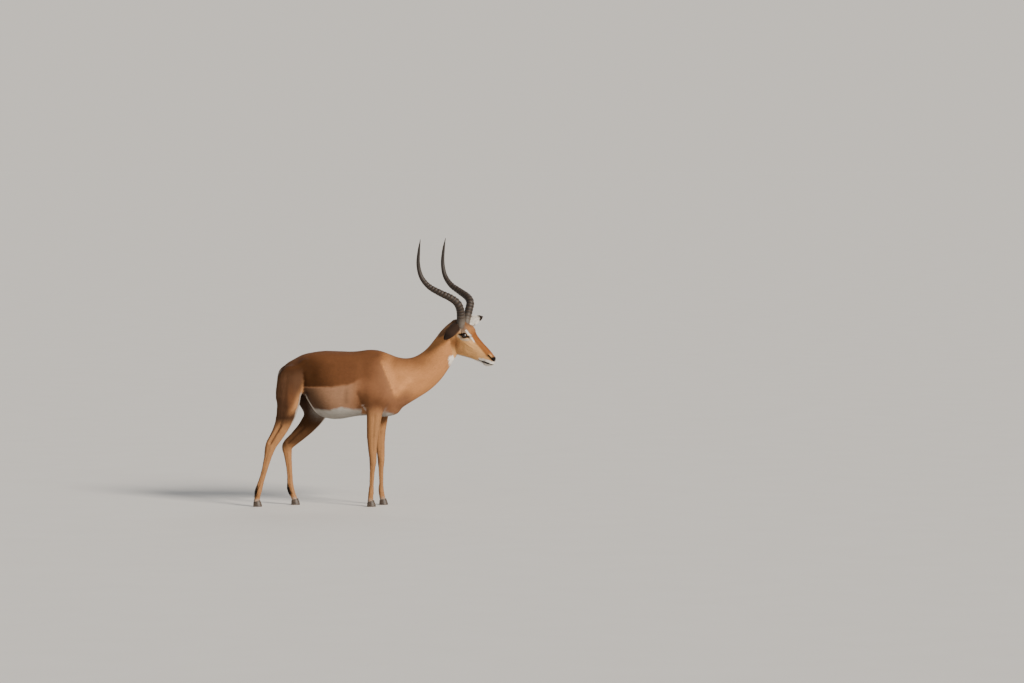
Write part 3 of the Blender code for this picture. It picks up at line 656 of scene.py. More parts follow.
        # Painted highlight on the middle of the thigh, above the stifle.
        thigh_highlight = near(x - stifle[0] + 0.014, 0.024) * near(z - stifle[1] - 0.035, 0.070)
        paint(SADDLE * 1.5, thigh * thigh_highlight * rise(way[:, 1] * side, 0.1, 0.5) * 0.7)
        pale = own * hind * rise(way[:, (0, 2)] @ front, 0.84, 0.97) * rise(z, 0.36, 0.46) * fall(z, 0.66, 0.70)
        paint(WHITE, pale * 0.65)
        inner = own * hind * rise(-way[:, 1] * side, 0.10, 0.55)
        # Painted shade low on the inner side of the leg.
        paint(LEG_REAR_AND_SHADE * 0.42, inner * fall(z, 0.50, 0.60) * rise(z, 0.30, 0.37) * 0.95)
        # High inside: white, dimmed to grey by painted shade.
        paint(WHITE * 0.5, inner * rise(z, 0.47, 0.58) * rise(x, stifle[0] - 0.10, stifle[0] - 0.03))
        # Painted shade high inside the thigh, in the hollow between the legs.
        paint(HOLLOW_SHADE, inner * rise(z, 0.50, 0.57) * fall(x, stifle[0] - 0.115, stifle[0] - 0.05))
    # Forelegs: the rear faces darker, with darker hair and painted shade, and painted shade high on the inner
    # side.
    leg = fore * fall(z, 0.50, 0.60)
    paint(LEG, leg)
    paint(LEG_REAR_AND_SHADE * 1.2, leg * rise(-way[:, 0], 0.30, 0.90) * 0.75)
    # Painted shade high on the inner side, under the chest.
    for side in (1, -1):
        inner = fore * (y * side > 0) * rise(-way[:, 1] * side, 0.2, 0.7) * rise(z, 0.44, 0.49)
        paint(LEG_REAR_AND_SHADE, inner * 0.7)
    # Belly and its edges: the white dimmed to grey by painted shade, over the belly and the underside, and
    # painted shade in the hollow of the groin.
    low = line_at(x, (-0.42, 0.50), (-0.37, 0.548), (-0.34, 0.552), (-0.24, 0.557), (-0.20, 0.567),
                  (-0.16, 0.576), (-0.13, 0.570), (-0.08, 0.550), (-0.02, 0.545), (0.06, 0.540), (0.12, 0.540),
                  (0.16, 0.50))
    body = (part == 0) | (part == 1)
    paint(WHITE * 0.56, fall(z - low + ripple * 0.6, -0.009, 0.009) * body * (x < 0.16) * (x > -0.47))
    under = body * rise(-way[:, 2], 0.55, 0.85) * fall(x, 0.11, 0.15) * (z < 0.62)
    paint(WHITE * 0.56, under)
    # Painted shade in the hollow of the groin, before the thigh.
    groin_shade = body * fall(x, -0.372, -0.350) * fall(z, 0.655, 0.675) * (x > -0.44)
    paint(HOLLOW_SHADE, groin_shade * rise(-way[:, 0] - way[:, 2], 0.3, 0.7))
    fold = gap(((-0.394, 0.680), (-0.384, 0.645), (-0.366, 0.600), (-0.345, 0.566), (-0.320, 0.540)))
    paint(WHITE, near(fold, 0.0060) * body * (wide > 0.03))
    pit = gap(((-0.048, 0.585), (-0.040, 0.562)))
    paint(WHITE, near(pit, 0.0045) * torso * (wide < 0.135) * 0.35)
    # Buttocks: white between two black streaks, with the tail over them.
    rear = rise(-way[:, 0], 0.35, 0.75) * (x < -0.42) * torso
    paint(WHITE, rear * fall(wide, 0.050, 0.062) * rise(z, 0.46, 0.56) * fall(z, 0.770, 0.795))
    streak = near(wide - 0.066 - 0.10 * np.clip(0.70 - z, 0, 1), 0.0085)
    paint(BLACK, 1.3 * rear * streak * rise(z, 0.56, 0.62) * fall(z, 0.775, 0.800))
    # Neck: paler under, white at the throat, and dark behind the ears, partly as painted shadow of the head,
    # horns and ears.
    neck_side = rise(x, 0.18, 0.30) * body
    under = fall(z - line_at(x, (0.15, 0.60), (0.30, 0.70), (0.40, 0.79), (0.47, 0.88)), -0.02, 0.05)
    paint(FAWN * 0.92, 0.55 * under * neck_side)
    throat = rise(x, 0.438, 0.449) * fall(z, 0.864, 0.876) * rise(z, 0.806, 0.822)
    paint(WHITE * 1.2, throat * ((part == 1) | (head & (in_head(points)[:, 0] < 0.055))) * (z < 0.89))
    # Behind the ears: a darker tone, partly painted shadow cast by the head, horns and ears.
    crest = rise(z - line_at(x, (0.36, 0.96), (0.40, 0.975), (0.45, 1.000), (0.52, 1.05)), -0.002, 0.012)
    paint(CROWN_AND_NAPE_SHADOW, crest * rise(x, 0.372, 0.392) * ((part == 1) | head) * (in_head(points)[:, 0] < 0.012))
    # Head.
    h = in_head(points)
    a, w, b = h[:, 0], np.abs(h[:, 1]), h[:, 2]
    side_way = way @ HEAD_AXES

    def face_gap(path):
        """Distance in the head's side view from a path over the face."""
        return path_distance(h[:, (0, 2)], path)[0]

    on = head * rise(a, -0.005, 0.02)
    paint(FACE, on)
    # The back of the cheek darker brown: partly its own tone, partly painted shade.
    cheek = near(a - 0.052, 0.062) * near(b + 0.050, 0.046)
    paint(shade(112, 72, 44), on * (w > 0.012) * cheek * 0.97)
    paint(shade(146, 95, 58), on * rise(b, 0.030, 0.055) * fall(a, 0.10, 0.17) * 0.85)
    band = b - line_at(a, (0.05, 0.045), (0.10, 0.036), (0.13, 0.030), (0.24, 0.020))
    paint(shade(139, 84, 46), on * rise(band, -0.004, 0.008) * rise(a, 0.07, 0.10) * fall(a, 0.235, 0.258)
          * 0.9)
    temple = face_gap(((0.000, 0.030), (0.020, 0.030), (0.040, 0.040), (0.045, 0.052)))
    paint(GREY, on * (w > 0.020) * near(temple, 0.012) * 0.6)
    ridge = line_at(a, (0.05, 0.016), (0.15, 0.013), (0.25, 0.012))
    paint(BRIDGE, on * fall(w, ridge, ridge + 0.007) * rise(a, 0.085, 0.12) * rise(side_way[:, 2], 0.3, 0.7)
          * 0.8)
    horn_base = ((a - 0.018) / 0.020) ** 2 + ((b - 0.046) / 0.028) ** 2
    paint(GREY, on * rise(w, 0.026, 0.034) * np.exp(-horn_base ** 2))
    paint(CROWN_AND_NAPE_SHADOW * 1.2, on * fall(w, 0.008, 0.024) * rise(b, 0.05, 0.065) * fall(a, 0.030, 0.055))
    pale = face_gap(((0.040, -0.002), (0.054, -0.004), (0.076, -0.001), (0.092, 0.010), (0.104, 0.024)))
    paint(shade(180, 164, 142), on * (w > 0.030) * near(pale, 0.0080, 4) * 0.85)
    over = face_gap(((0.040, 0.024), (0.056, 0.040), (0.072, 0.044)))
    paint(GREY, on * (w > 0.030) * near(over, 0.0080) * 0.8)
    over_bridge = ((0.058, 0.050), (0.085, 0.042), (0.112, 0.035), (0.136, 0.029))
    stripe, along = path_distance(h[:, (0, 2)], over_bridge)
    paint(WHITE * 1.25, on * (w > 0.018) * near(stripe, 0.0060 - 0.0030 * along, 4)
          * (1 - 0.6 * rise(along, 0.85, 1.0)))
    corner = face_gap(((0.041, 0.0060), (0.052, 0.0125), (0.078, 0.0260), (0.097, 0.0320)))
    paint(BLACK * 0.7, on * (w > 0.030) * near(corner, 0.0078 - 0.05 * np.abs(a - 0.068), 4))
    for side in (1, -1):
        u, v, reach, ahead = eye_angles(points, side)
        rim = on * (reach < 0.030) * (ahead > 0.002) * fall(lid_edge(u, v), 0.28, 0.36)
        paint(BLACK * 0.6, rim * (h[:, 1] * side > 0))
    jaw = line_at(a, (0.02, -0.085), (0.10, -0.078), (0.15, -0.062), (0.20, -0.040), (0.225, -0.024),
                  (0.30, 0.004))
    paint(WHITE, on * fall(b - jaw, -0.006, 0.006) * rise(a, 0.02, 0.05)
          * (1 - rise(w, 0.008, 0.016) * fall(a, 0.19, 0.23)))
    lip_top = line_at(a, (0.212, -0.022), (0.225, -0.012), (0.240, 0.000), (0.268, 0.015), (0.284, 0.022),
                      (0.30, 0.022))
    paint(WHITE, on * rise(a, 0.210, 0.222) * fall(b - lip_top, -0.003, 0.003))
    nose_top = line_at(a, (0.26, 0.030), (0.28, 0.0235), (0.30, 0.0200))
    pad = rise(a, 0.264, 0.272) * rise(b - nose_top, -0.002, 0.002)
    paint(NOSE, on * pad)
    paint(NOSE, on * (w > 0.006) * near(face_gap(NOSTRIL), 0.0058, 4))
    lip_wide = 0.0024 + 0.0038 * rise(a, 0.225, 0.25) * (1 - 0.6 * rise(a, 0.272, 0.290))
    paint(NOSE, on * rise(a, 0.210, 0.216) * near(face_gap(MOUTH), lip_wide, 4))
    # Ears: dark backs, a darker brown deepened by painted shade, black tips, and white inside.
    for side, number in EAR_PARTS:
        root, along, opening, across = ear_frame(side)
        off = points - root
        t = (off @ along) / EAR_LENGTH
        inside = rise(way @ opening, -0.1, 0.25)
        own = (part == number) * 1.0
        # The back: a darker brown, deepened by painted shade.
        paint(shade(54, 43, 37), own)
        paint(WHITE, own * inside * rise(t, 0.0, 0.1))
        paint(shade(96, 70, 52), own * rise(np.abs(off @ across), 0.0245, 0.0285) * rise(t, 0.1, 0.3) * 0.8)
        paint(BLACK, own * rise(t + 0.06 * np.abs(off @ across) / 0.03, 0.78, 0.85))
        paint(BLACK, own * rise(t, 0.50, 0.80) * (1 - inside))
    # Tail: a dark line down the middle, white edges and underside.
    paint(SADDLE * 0.9, tail * 1.0)
    paint(WHITE, tail * rise(np.maximum(wide / 0.020, way[:, 0] * 1.4), 0.55, 0.85) * fall(z, 0.76, 0.80))
    paint(BLACK, tail * fall(wide, 0.006, 0.010) * rise(-way[:, 0], 0.1, 0.5) * fall(z, 0.75, 0.79))
    # Feet: pale over the hooves, black tuft behind each hind fetlock.
    paint(WHITE * 0.7, (fore | hind) * fall(z, 0.036, 0.052) * 0.45)
    for side in (1, -1):
        fetlock = np.array(HIND[side][2])
        d = plan[:, (0, 2)] - fetlock
        tuft = near(d[:, 1] - 0.004, 0.027, 4) * rise(-way[:, 0], 0.05, 0.45) * (y * side > 0) * hind
        paint(BLACK, tuft * 1.4)
    return np.clip(colour, 0.001, 1)


points = coordinates(hide)
way = normals(hide)
hide_part = part_of(points)


def give_colour(mesh, name, colour):
    layer = mesh.color_attributes.new(name, "FLOAT_COLOR", "POINT")
    flat = np.ones((len(colour), 4), np.float32)
    flat[:, :3] = colour
    layer.data.foreach_set("color", flat.ravel())


give_colour(hide, "coat", coat_colour(points, way, hide_part))


class Nodes:
    """Builds one material's nodes."""

    def __init__(self, name):
        self.material = bpy.data.materials.new(name)
        self.material.use_nodes = True
        self.tree = self.material.node_tree
        self.surface = self.tree.nodes["Principled BSDF"]

    def new(self, kind, **inputs):
        node = self.tree.nodes.new("ShaderNode" + kind)
        for key, value in inputs.items():
            if key.startswith("set_"):
                setattr(node, key[4:], value)
            else:
                self.feed(node, key.replace("_", " "), value)
        return node

    def feed(self, node, key, value):
        socket = node.inputs[int(key)] if key.isdigit() else node.inputs[key]
        if isinstance(value, bpy.types.NodeSocket):
            self.tree.links.new(value, socket)
        else:
            socket.default_value = value

    def surface_is(self, **inputs):
        for key, value in inputs.items():
            self.feed(self.surface, key.replace("_", " "), value)

    def varied(self, colour, least, *layers):
        """The colour times an amount: the least, and layers of noise over it, each with its strength."""
        amount = least
        for noise, strength in layers:
            node = self.new("Math", set_operation="MULTIPLY_ADD")
            for key, value in zip("012", (noise.outputs["Fac"], strength, amount)):
                self.feed(node, key, value)
            amount = node.outputs[0]
        scaled = self.new("VectorMath", set_operation="SCALE")
        self.feed(scaled, "0", colour)
        self.feed(scaled, "Scale", amount)
        return scaled.outputs[0]

    def ramp(self, noise, *stops):
        """A colour that runs with the noise between two stops, each a place and a tone."""
        node = self.new("ValToRGB", Fac=noise.outputs["Fac"])
        for element, (place, tone) in zip(node.color_ramp.elements, stops):
            element.position = place
            element.color = (*tone, 1)
        return node.outputs["Color"]


def hair_material(name, bump, roughness):
    """Hair colour from the painted markings and shade, broken by fine variation, over a short nap."""
    nodes = Nodes(name)
    tint = nodes.new("VertexColor", set_layer_name="coat")
    place = nodes.new("TexCoord").outputs["Object"]
    soft = nodes.new("TexNoise", Vector=place, Scale=26.0, Detail=3.0)
    fine = nodes.new("TexNoise", Vector=place, Scale=420.0, Detail=2.0)
    colour = nodes.varied(tint.outputs["Color"], 0.72, (soft, 0.20), (fine, 0.36))
    nodes.surface_is(Base_Color=colour, Roughness=roughness, Specular_IOR_Level=0.07,
                     Specular_Tint=(1.0, 0.78, 0.58, 1.0), Sheen_Weight=0.03, Sheen_Roughness=0.45)
    if bump:
        nap = nodes.new("Bump", Strength=bump, Distance=0.0006, Height=fine.outputs["Fac"])
        nodes.surface_is(Normal=nap.outputs[0])
    return nodes.material


def place_piece(name, mesh, slot, *nodes):
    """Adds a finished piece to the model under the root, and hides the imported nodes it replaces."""
    piece = linked(name, mesh)
    mesh.shade_smooth()
    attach(piece, "root")
    if nodes:
        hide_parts(*nodes)


hide.materials.clear()
hide.materials.append(hair_material("hide", 0.5, 0.70))
place_piece("hide", hide, "coat", *FLESH, "ear_left", "ear_right")


# ------------------------------------------------------------------ eyes
# Two large dark eyes with a long level pupil under a wet, slightly domed front.
def eye_mesh(side):
    out, long, high = (HEAD_TURN @ Vector(axis) for axis in eye_axes(side))
    centre = middle("eye_left" if side > 0 else "eye_right")
    bm = bmesh.new()
    bmesh.ops.create_uvsphere(bm, u_segments=64, v_segments=48, radius=EYE_RADIUS - 0.0002)
    turn = Matrix((long, high * -side, out)).transposed()
    tones = []
    for vert in bm.verts:
        spot = vert.co.copy()
        level = spot.z / EYE_RADIUS
        pupil = (spot.x / 0.0072) ** 2 + (spot.y / 0.0034) ** 2
        iris = (spot.x / 0.0135) ** 2 + (spot.y / 0.0118) ** 2
        tone = shade(16, 11, 9) if level > 0 else shade(60, 50, 45)
        if iris < 1 and level > 0:
            tone = shade(40, 21, 12) * (0.5 + 0.5 * iris)
        if pupil < 1 and level > 0:
            tone = shade(6, 5, 6)
        tones.append(tone)
        if level > 0.72:
            vert.co += Vector((0, 0, 1)) * 0.0007 * ((level - 0.72) / 0.28) ** 1.5
    bm.transform(Matrix.Translation(centre) @ turn.to_4x4())
    mesh = bpy.data.meshes.new("eye")
    bm.to_mesh(mesh)
    bm.free()
    give_colour(mesh, "tone", np.array(tones))
    return mesh


eye_nodes = Nodes("eye")
eye_tone = eye_nodes.new("VertexColor", set_layer_name="tone")
eye_nodes.surface_is(Base_Color=eye_tone.outputs["Color"], Roughness=0.12, Coat_Weight=0.25,
                     Coat_Roughness=0.03)
for name, side in (("eye_left", 1), ("eye_right", -1)):
    mesh = eye_mesh(side)
    mesh.materials.append(eye_nodes.material)
    place_piece(name + "_ball", mesh, "eye", name)


# ------------------------------------------------------------------ horns
# Lyre-shaped sheaths of dark horn: some twenty strong rings in front of the lower part, then a smooth
# tip. Each grows from a collar of skin over the brow.
# Places on the middle line from the base to the tip, and the share of the horn's radius at each.
HORN = (
    (0.030, 0.031, 0.020, 1.02), (0.035, 0.039, 0.060, 1.00), (0.041, 0.059, 0.114, 0.97),
    (0.036, 0.088, 0.157, 0.94), (0.006, 0.112, 0.188, 0.88), (-0.054, 0.136, 0.219, 0.79),
    (-0.115, 0.151, 0.255, 0.68), (-0.157, 0.161, 0.308, 0.58), (-0.174, 0.167, 0.380, 0.47),
    (-0.169, 0.169, 0.460, 0.32), (-0.158, 0.172, 0.524, 0.07))
HORN_RADIUS = 0.0238
HORN_RINGS, RINGED_SHARE = 21, 0.64
HORN_SPANS, HORN_SIDES = 330, 30


def along_curve(rows, share):
    """Value at share, 0 to 1, of a smooth curve through the rows."""
    rows = np.asarray(rows, float)
    place = share * (len(rows) - 1)
    i = min(int(place), len(rows) - 2)
    t = place - i
    a, b = rows[i], rows[i + 1]
    before = rows[i - 1] if i > 0 else 2 * a - b
    after = rows[i + 2] if i + 2 < len(rows) else 2 * b - a
    return 0.5 * (2 * a + (b - before) * t + (2 * before - 5 * a + 4 * b - after) * t * t
                  + (3 * a - before - 3 * b + after) * t ** 3)


def tube_mesh(name, spots, around, side):
    """A closed tube through rings of points. One mirrored, with side below 0, has its faces turned round."""
    last = len(spots) - around
    faces = []
    for first in range(0, last, around):
        for j in range(around):
            k = (j + 1) % around
            faces.append((first + j, first + k, first + around + k, first + around + j))
    faces.append(tuple(range(last, last + around)))
    faces.append(tuple(range(around))[::-1])
    mesh = bpy.data.meshes.new(name)
    mesh.from_pydata([tuple(spot) for spot in spots], [], faces if side > 0 else [face[::-1] for face in faces])
    return mesh


def horn_mesh(side):
    rows = np.array([along_curve(HORN, k / HORN_SPANS) for k in range(HORN_SPANS + 1)])
    centre = rows[:, :3]
    length = np.concatenate(((0,), np.cumsum(np.linalg.norm(np.diff(centre, axis=0), axis=1))))
    along = np.gradient(centre, axis=0)
    along = along / np.linalg.norm(along, axis=1)[:, None]
    across = np.cross(along, (0, 1, 0))
    across = across / np.linalg.norm(across, axis=1)[:, None]
    other = np.cross(along, across)
    share = length / length[-1]
    spots, tones, lays = [], [], []
    for j in range(HORN_SIDES):
        angle = 2 * math.pi * j / HORN_SIDES
        way = across * math.cos(angle) + other * math.sin(angle)
        front = 0.5 + 0.5 * np.clip(way[:, 0] * 0.9 + way[:, 2] * 0.5, -1, 1)
        phase = share / RINGED_SHARE * HORN_RINGS + 0.10 * math.sin(angle * 2) + 0.06 * np.sin(share * 90)
        crest = np.abs(np.sin(np.pi * phase)) ** 1.6
        fade = fall(share, RINGED_SHARE - 0.12, RINGED_SHARE + 0.04) * rise(share, 0.05, 0.10)
        height = (0.0009 + 0.0026 * front) * (1 - 0.45 * share) * fade
        radius = HORN_RADIUS * rows[:, 3] - 0.0004 + height * (crest - 0.30)
        spots.append(centre + way * radius[:, None])
        tone = shade(46, 35, 26) * (1 - 0.35 * rise(share, 0.62, 0.85))[:, None]
        # The lowest part paler grey, its own tone, and paler still on the front as painted light.
        pale = (fall(share, 0.05, 0.15) * (0.35 + 0.65 * front))[:, None]
        tone = tone * (1 - pale) + shade(107, 97, 87) * pale
        # Painted highlights on the ring crests, stronger on the front.
        light = (crest ** 1.5 * fade * (0.20 + 0.35 * front))[:, None]
        tone = tone * (1 - light) + shade(76, 61, 47) * light
        # Painted shade in the grooves between rings and over the rear side.
        dark = ((1 - crest) ** 2 * fade * 0.55 + 0.45 * (1 - front) ** 2)[:, None]
        tones.append(tone * (1 - dark) + shade(26, 20, 17) * dark)
        lays.append(np.stack((np.full(len(rows), j / HORN_SIDES * 0.12), length), axis=1))
    spots = np.stack(spots, axis=1)
    spots[:, :, 1] *= side
    spots = spots.reshape(-1, 3) @ np.array(UPRIGHT_TURN).T + np.array(poll)
    mesh = tube_mesh("horn", spots, HORN_SIDES, side)
    give_colour(mesh, "tone", np.stack(tones, axis=1).reshape(-1, 3))
    grain = np.stack(lays, axis=1).reshape(-1, 2)
    grain = np.column_stack((grain, np.zeros(len(grain))))
    layer = mesh.attributes.new("grain", "FLOAT_VECTOR", "POINT")
    layer.data.foreach_set("vector", grain.ravel())
    mesh.update()
    return mesh


horn_nodes = Nodes("horn")
horn_tone = horn_nodes.new("VertexColor", set_layer_name="tone")
horn_place = horn_nodes.new("TexCoord").outputs["Object"]
horn_spot = horn_nodes.new("TexNoise", Vector=horn_place, Scale=160.0, Detail=4.0)
horn_shade = horn_nodes.varied(horn_tone.outputs["Color"], 0.62, (horn_spot, 0.7))
horn_lay = horn_nodes.new("Attribute", set_attribute_name="grain")
horn_stretch = horn_nodes.new("Mapping", Vector=horn_lay.outputs["Vector"], Scale=(1400.0, 70.0, 1.0))
horn_fibre = horn_nodes.new("TexNoise", Vector=horn_stretch.outputs[0], Scale=1.0, Detail=3.0)
horn_relief = horn_nodes.new("Bump", Strength=0.55, Distance=0.0005, Height=horn_fibre.outputs["Fac"])
horn_nodes.surface_is(Base_Color=horn_shade, Roughness=0.56, Normal=horn_relief.outputs[0])
for name, side in (("horn_left", 1), ("horn_right", -1)):
    mesh = horn_mesh(side)
    mesh.materials.append(horn_nodes.material)
    place_piece(name + "_sheath", mesh, "horn", name)


# ------------------------------------------------------------------ hooves
# Two dark claws to each foot, with a flat sole, a straight toe wall and fine growth rings.
FEET = {"fore_left": (0.053, 0.074), "fore_right": (-0.013, -0.074), "hind_left": (-0.455, 0.072),
        "hind_right": (-0.667, -0.072)}
HOOF_TOP, CLEFT = 0.030, 0.0030
# The hoof's outline at three levels of its height: reach to the toe, reach to the heel, and width.
HOOF_LEVELS = np.array((
    (0.0, 0.0310, 0.0205, 0.0208), (0.35, 0.0275, 0.0200, 0.0198), (1.0, 0.0190, 0.0190, 0.0175)))
HOOF_RINGS, HOOF_SIDES = 26, 48


def hoof_mesh(foot, outer):
    x0, y0 = FEET[foot]
    sign = math.copysign(1, y0) if outer else -math.copysign(1, y0)
    spots = []
    for i in range(HOOF_RINGS + 1):
        level = i / HOOF_RINGS
        front, rear, width = (np.interp(level, HOOF_LEVELS[:, 0], HOOF_LEVELS[:, k]) for k in (1, 2, 3))
        trim = 1 - 0.05 * math.exp(-((level / 0.035) ** 2)) + 0.010 * math.sin(level * 44) * (level > 0.06)
        for step in range(HOOF_SIDES):
            angle = 2 * math.pi * step / HOOF_SIDES
            c, s = math.cos(angle), math.sin(angle)
            x = (front if c > 0 else rear) * c * trim
            flat = max(0.0, 0.5 + 0.5 * math.copysign(abs(s) ** 0.8, s))
            y = CLEFT / 2 + width * flat * (1 - 0.42 * max(0, c) ** 2) * (1 if flat < 0.5 else trim)
            top = HOOF_TOP + 0.0012 + 0.30 * x
            spots.append((x0 + x, y0 + sign * y, level * top))
    seat = Vector((body_origin.x, body_origin.y, 0))
    mesh = tube_mesh("hoof", [Vector(spot) + seat for spot in spots], HOOF_SIDES, sign)
    mesh.update()
    return mesh


hoof_nodes = Nodes("hoof")
hoof_place = hoof_nodes.new("TexCoord").outputs["Object"]
hoof_stretch = hoof_nodes.new("Mapping", Vector=hoof_place, Scale=(60.0, 60.0, 420.0))
hoof_bands = hoof_nodes.new("TexNoise", Vector=hoof_stretch.outputs[0], Scale=1.0, Detail=3.0)
hoof_colour = hoof_nodes.ramp(hoof_bands, (0.32, shade(40, 33, 28)), (0.72, shade(92, 77, 64)))
hoof_relief = hoof_nodes.new("Bump", Strength=0.35, Distance=0.0004, Height=hoof_bands.outputs["Fac"])
hoof_nodes.surface_is(Base_Color=hoof_colour, Roughness=0.45, Normal=hoof_relief.outputs[0])
for foot in FEET:
    for claw in ("outer", "inner"):
        mesh = hoof_mesh(foot, claw == "outer")
        mesh.materials.append(hoof_nodes.material)
        place_piece(f"hoof_{foot}_{claw}_claw", mesh, "hoof", f"hoof_{foot}_{claw}")
        mesh.set_sharp_from_angle(angle=math.radians(50))


# ------------------------------------------------------------------ coat: the lie of the hair
# The coat is short and sleek. It runs from the nose to the poll, down the neck, back along the trunk
# and down every leg, and each lock is pressed to the skin.
rng = np.random.default_rng(11)
hide_tree_mesh = bmesh.new()
hide_tree_mesh.from_mesh(hide)
bmesh.ops.triangulate(hide_tree_mesh, faces=hide_tree_mesh.faces)
hide_tree = BVHTree.FromBMesh(hide_tree_mesh)
hide_tree_mesh.verts.index_update()
corners = np.array([[v.index for v in f.verts] for f in hide_tree_mesh.faces])
hide_tree_mesh.free()
corner_points = points[corners]
triangle_spot = corner_points.mean(axis=1)
triangle_way = np.cross(corner_points[:, 1] - corner_points[:, 0], corner_points[:, 2] - corner_points[:, 0])
area = np.linalg.norm(triangle_way, axis=1) / 2
triangle_part = hide_part[corners[:, 0]]
triangle_plan = in_plan(triangle_spot)


def unit(vectors):
    return vectors / np.maximum(np.linalg.norm(vectors, axis=1), 1e-9)[:, None]


def lie_of_hair(points, way, part):
    """Direction of the hair at each root, along the skin."""
    plan = in_plan(points)
    x, z = plan[:, 0], plan[:, 2]
    lie = np.tile((-1.0, 0.0, -0.22), (len(points), 1))
    down = rise(0.70 - z, 0, 0.16)[:, None]
    shoulder = (rise(x, -0.06, 0.02) * fall(x, 0.15, 0.22))[:, None]
    lie = lie + np.array((0.55, 0, -0.75)) * shoulder * (0.4 + 0.6 * down)
    haunch = rise(-x, 0.39, 0.47)[:, None]
    lie = lie + np.array((0.55, 0, -1.0)) * haunch * rise(0.83 - z, 0, 0.10)[:, None]
    belly = rise(0.60 - z, 0, 0.05)[:, None] * (1 - haunch) * (1 - shoulder)
    lie = lie * (1 - belly) + np.array((-1.0, 0, 0.05)) * belly
    neck = rise(x, 0.17, 0.27)[:, None]
    lie = lie * (1 - neck) + np.array((-0.80, 0, -0.62)) * neck
    for number, own, joints in LEGS:
        mask = part == number
        chain = np.array(joints[own])[::-1]
        here = z[mask]
        slopes = (chain[:-1, 0] - chain[1:, 0]) / (chain[1:, 1] - chain[:-1, 1])
        steps = np.interp(here, (chain[:-1, 1] + chain[1:, 1]) / 2, slopes)
        steep = np.column_stack((steps, np.zeros(len(here)), -np.ones(len(here))))
        share = fall(here, 0.50, 0.66)[:, None]
        lie[mask] = lie[mask] * (1 - share) + steep * share
    mask = part == 2
    h = in_head(points[mask])
    local = np.tile((-1.0, 0, 0.0), (mask.sum(), 1))
    local[:, 2] = -0.35 * rise(np.abs(h[:, 1]), 0.015, 0.035) * rise(h[:, 2], -0.09, 0.02)
    lie[mask] = local @ HEAD_AXES.T
    for side, number in EAR_PARTS:
        lie[part == number] = ear_frame(side)[1]
    lie[part == 3] = (-0.05, 0, -1.0)
    lie = lie - way * (lie * way).sum(axis=1)[:, None]
    return unit(lie)


def scatter(weight, count):
    """Roots spread over the skin in proportion to area and weight: point, normal and part."""
    chance = np.cumsum(area * weight)
    pick = np.searchsorted(chance, rng.random(count) * chance[-1])
    pick = np.minimum(pick, len(area) - 1)
    r1, r2 = np.sqrt(rng.random(count)), rng.random(count)
    share = np.column_stack((1 - r1, r1 * (1 - r2), r1 * r2))
    root = (points[corners[pick]] * share[:, :, None]).sum(axis=1)
    normal = unit((way[corners[pick]] * share[:, :, None]).sum(axis=1))
    return root, normal, triangle_part[pick]


def held(targets, lift):
    """Targets brought to the given height over the skin."""
    out = np.empty_like(targets)
    normal = np.empty_like(targets)
    for k, target in enumerate(targets):
        spot, facing, _, _ = hide_tree.find_nearest(Vector(target))
        out[k] = spot
        normal[k] = facing
    return out + normal * lift[:, None], normal


# ------------------------------------------------------------------ coat: places on the skin's map
# Each lock has a small patch of the map, at its root's place: the trunk, neck, legs, head and tail are
# each unrolled round their own length, and the ears are laid flat.
MAP_BOXES = (
    (0.00, 0.00, 1.00, 0.36), (0.00, 0.37, 0.60, 0.56), (0.00, 0.57, 0.60, 0.80), (0.00, 0.81, 0.20, 0.99),
    (0.62, 0.37, 0.80, 0.67), (0.81, 0.37, 0.99, 0.67), (0.62, 0.68, 0.80, 0.99), (0.81, 0.68, 0.99, 0.99),
    (0.21, 0.81, 0.40, 0.99), (0.41, 0.81, 0.60, 0.99))


def strip(number, share_u, share_v):
    """A place in one part's box on the map: the boxes follow the order of PARTS."""
    u0, v0, u1, v1 = MAP_BOXES[number]
    share_u, share_v = np.clip(share_u, 0.01, 0.99), np.clip(share_v, 0.01, 0.99)
    return np.column_stack((u0 + (u1 - u0) * share_u, v0 + (v1 - v0) * share_v))


def map_place(points, way, part):
    plan = in_plan(points)
    x, y, z = plan.T
    place = np.zeros((len(points), 2))

    def turn(a, b):
        return 0.5 + np.arctan2(a, b) / (2 * math.pi)

    mask = part == 0
    place[mask] = strip(0, (x[mask] + 0.57) / 0.78, turn(y[mask], z[mask] - 0.70))
    mask = part == 1
    axis = line_at(x[mask], (0.1, 0.72), (0.3, 0.78), (0.5, 1.0))
    place[mask] = strip(1, (x[mask] - 0.1) / 0.40, turn(y[mask], z[mask] - axis))
    mask = part == 2
    h = in_head(points[mask])
    place[mask] = strip(2, (h[:, 0] + 0.06) / 0.36, turn(h[:, 1], h[:, 2] + 0.01))
    mask = part == 3
    place[mask] = strip(3, (z[mask] - 0.48) / 0.35, turn(y[mask], -x[mask] - 0.53))
    for number, side, joints in LEGS:
        mask = part == number
        chain = np.array(joints[side])[::-1]
        middle_x = np.interp(z[mask], chain[:, 1], chain[:, 0])
        place[mask] = strip(number, turn(y[mask] - 0.08 * side, x[mask] - middle_x), (z[mask] - 0.03) / 0.74)
    for side, number in EAR_PARTS:
        mask = part == number
        root, along, opening, across = ear_frame(side)
        off = points[mask] - root
        inner = ((way[mask] @ opening) > 0) * 0.5
        place[mask] = strip(number, inner + 0.25 + (off @ across) / 0.30, (off @ along) / 0.17)
    return place


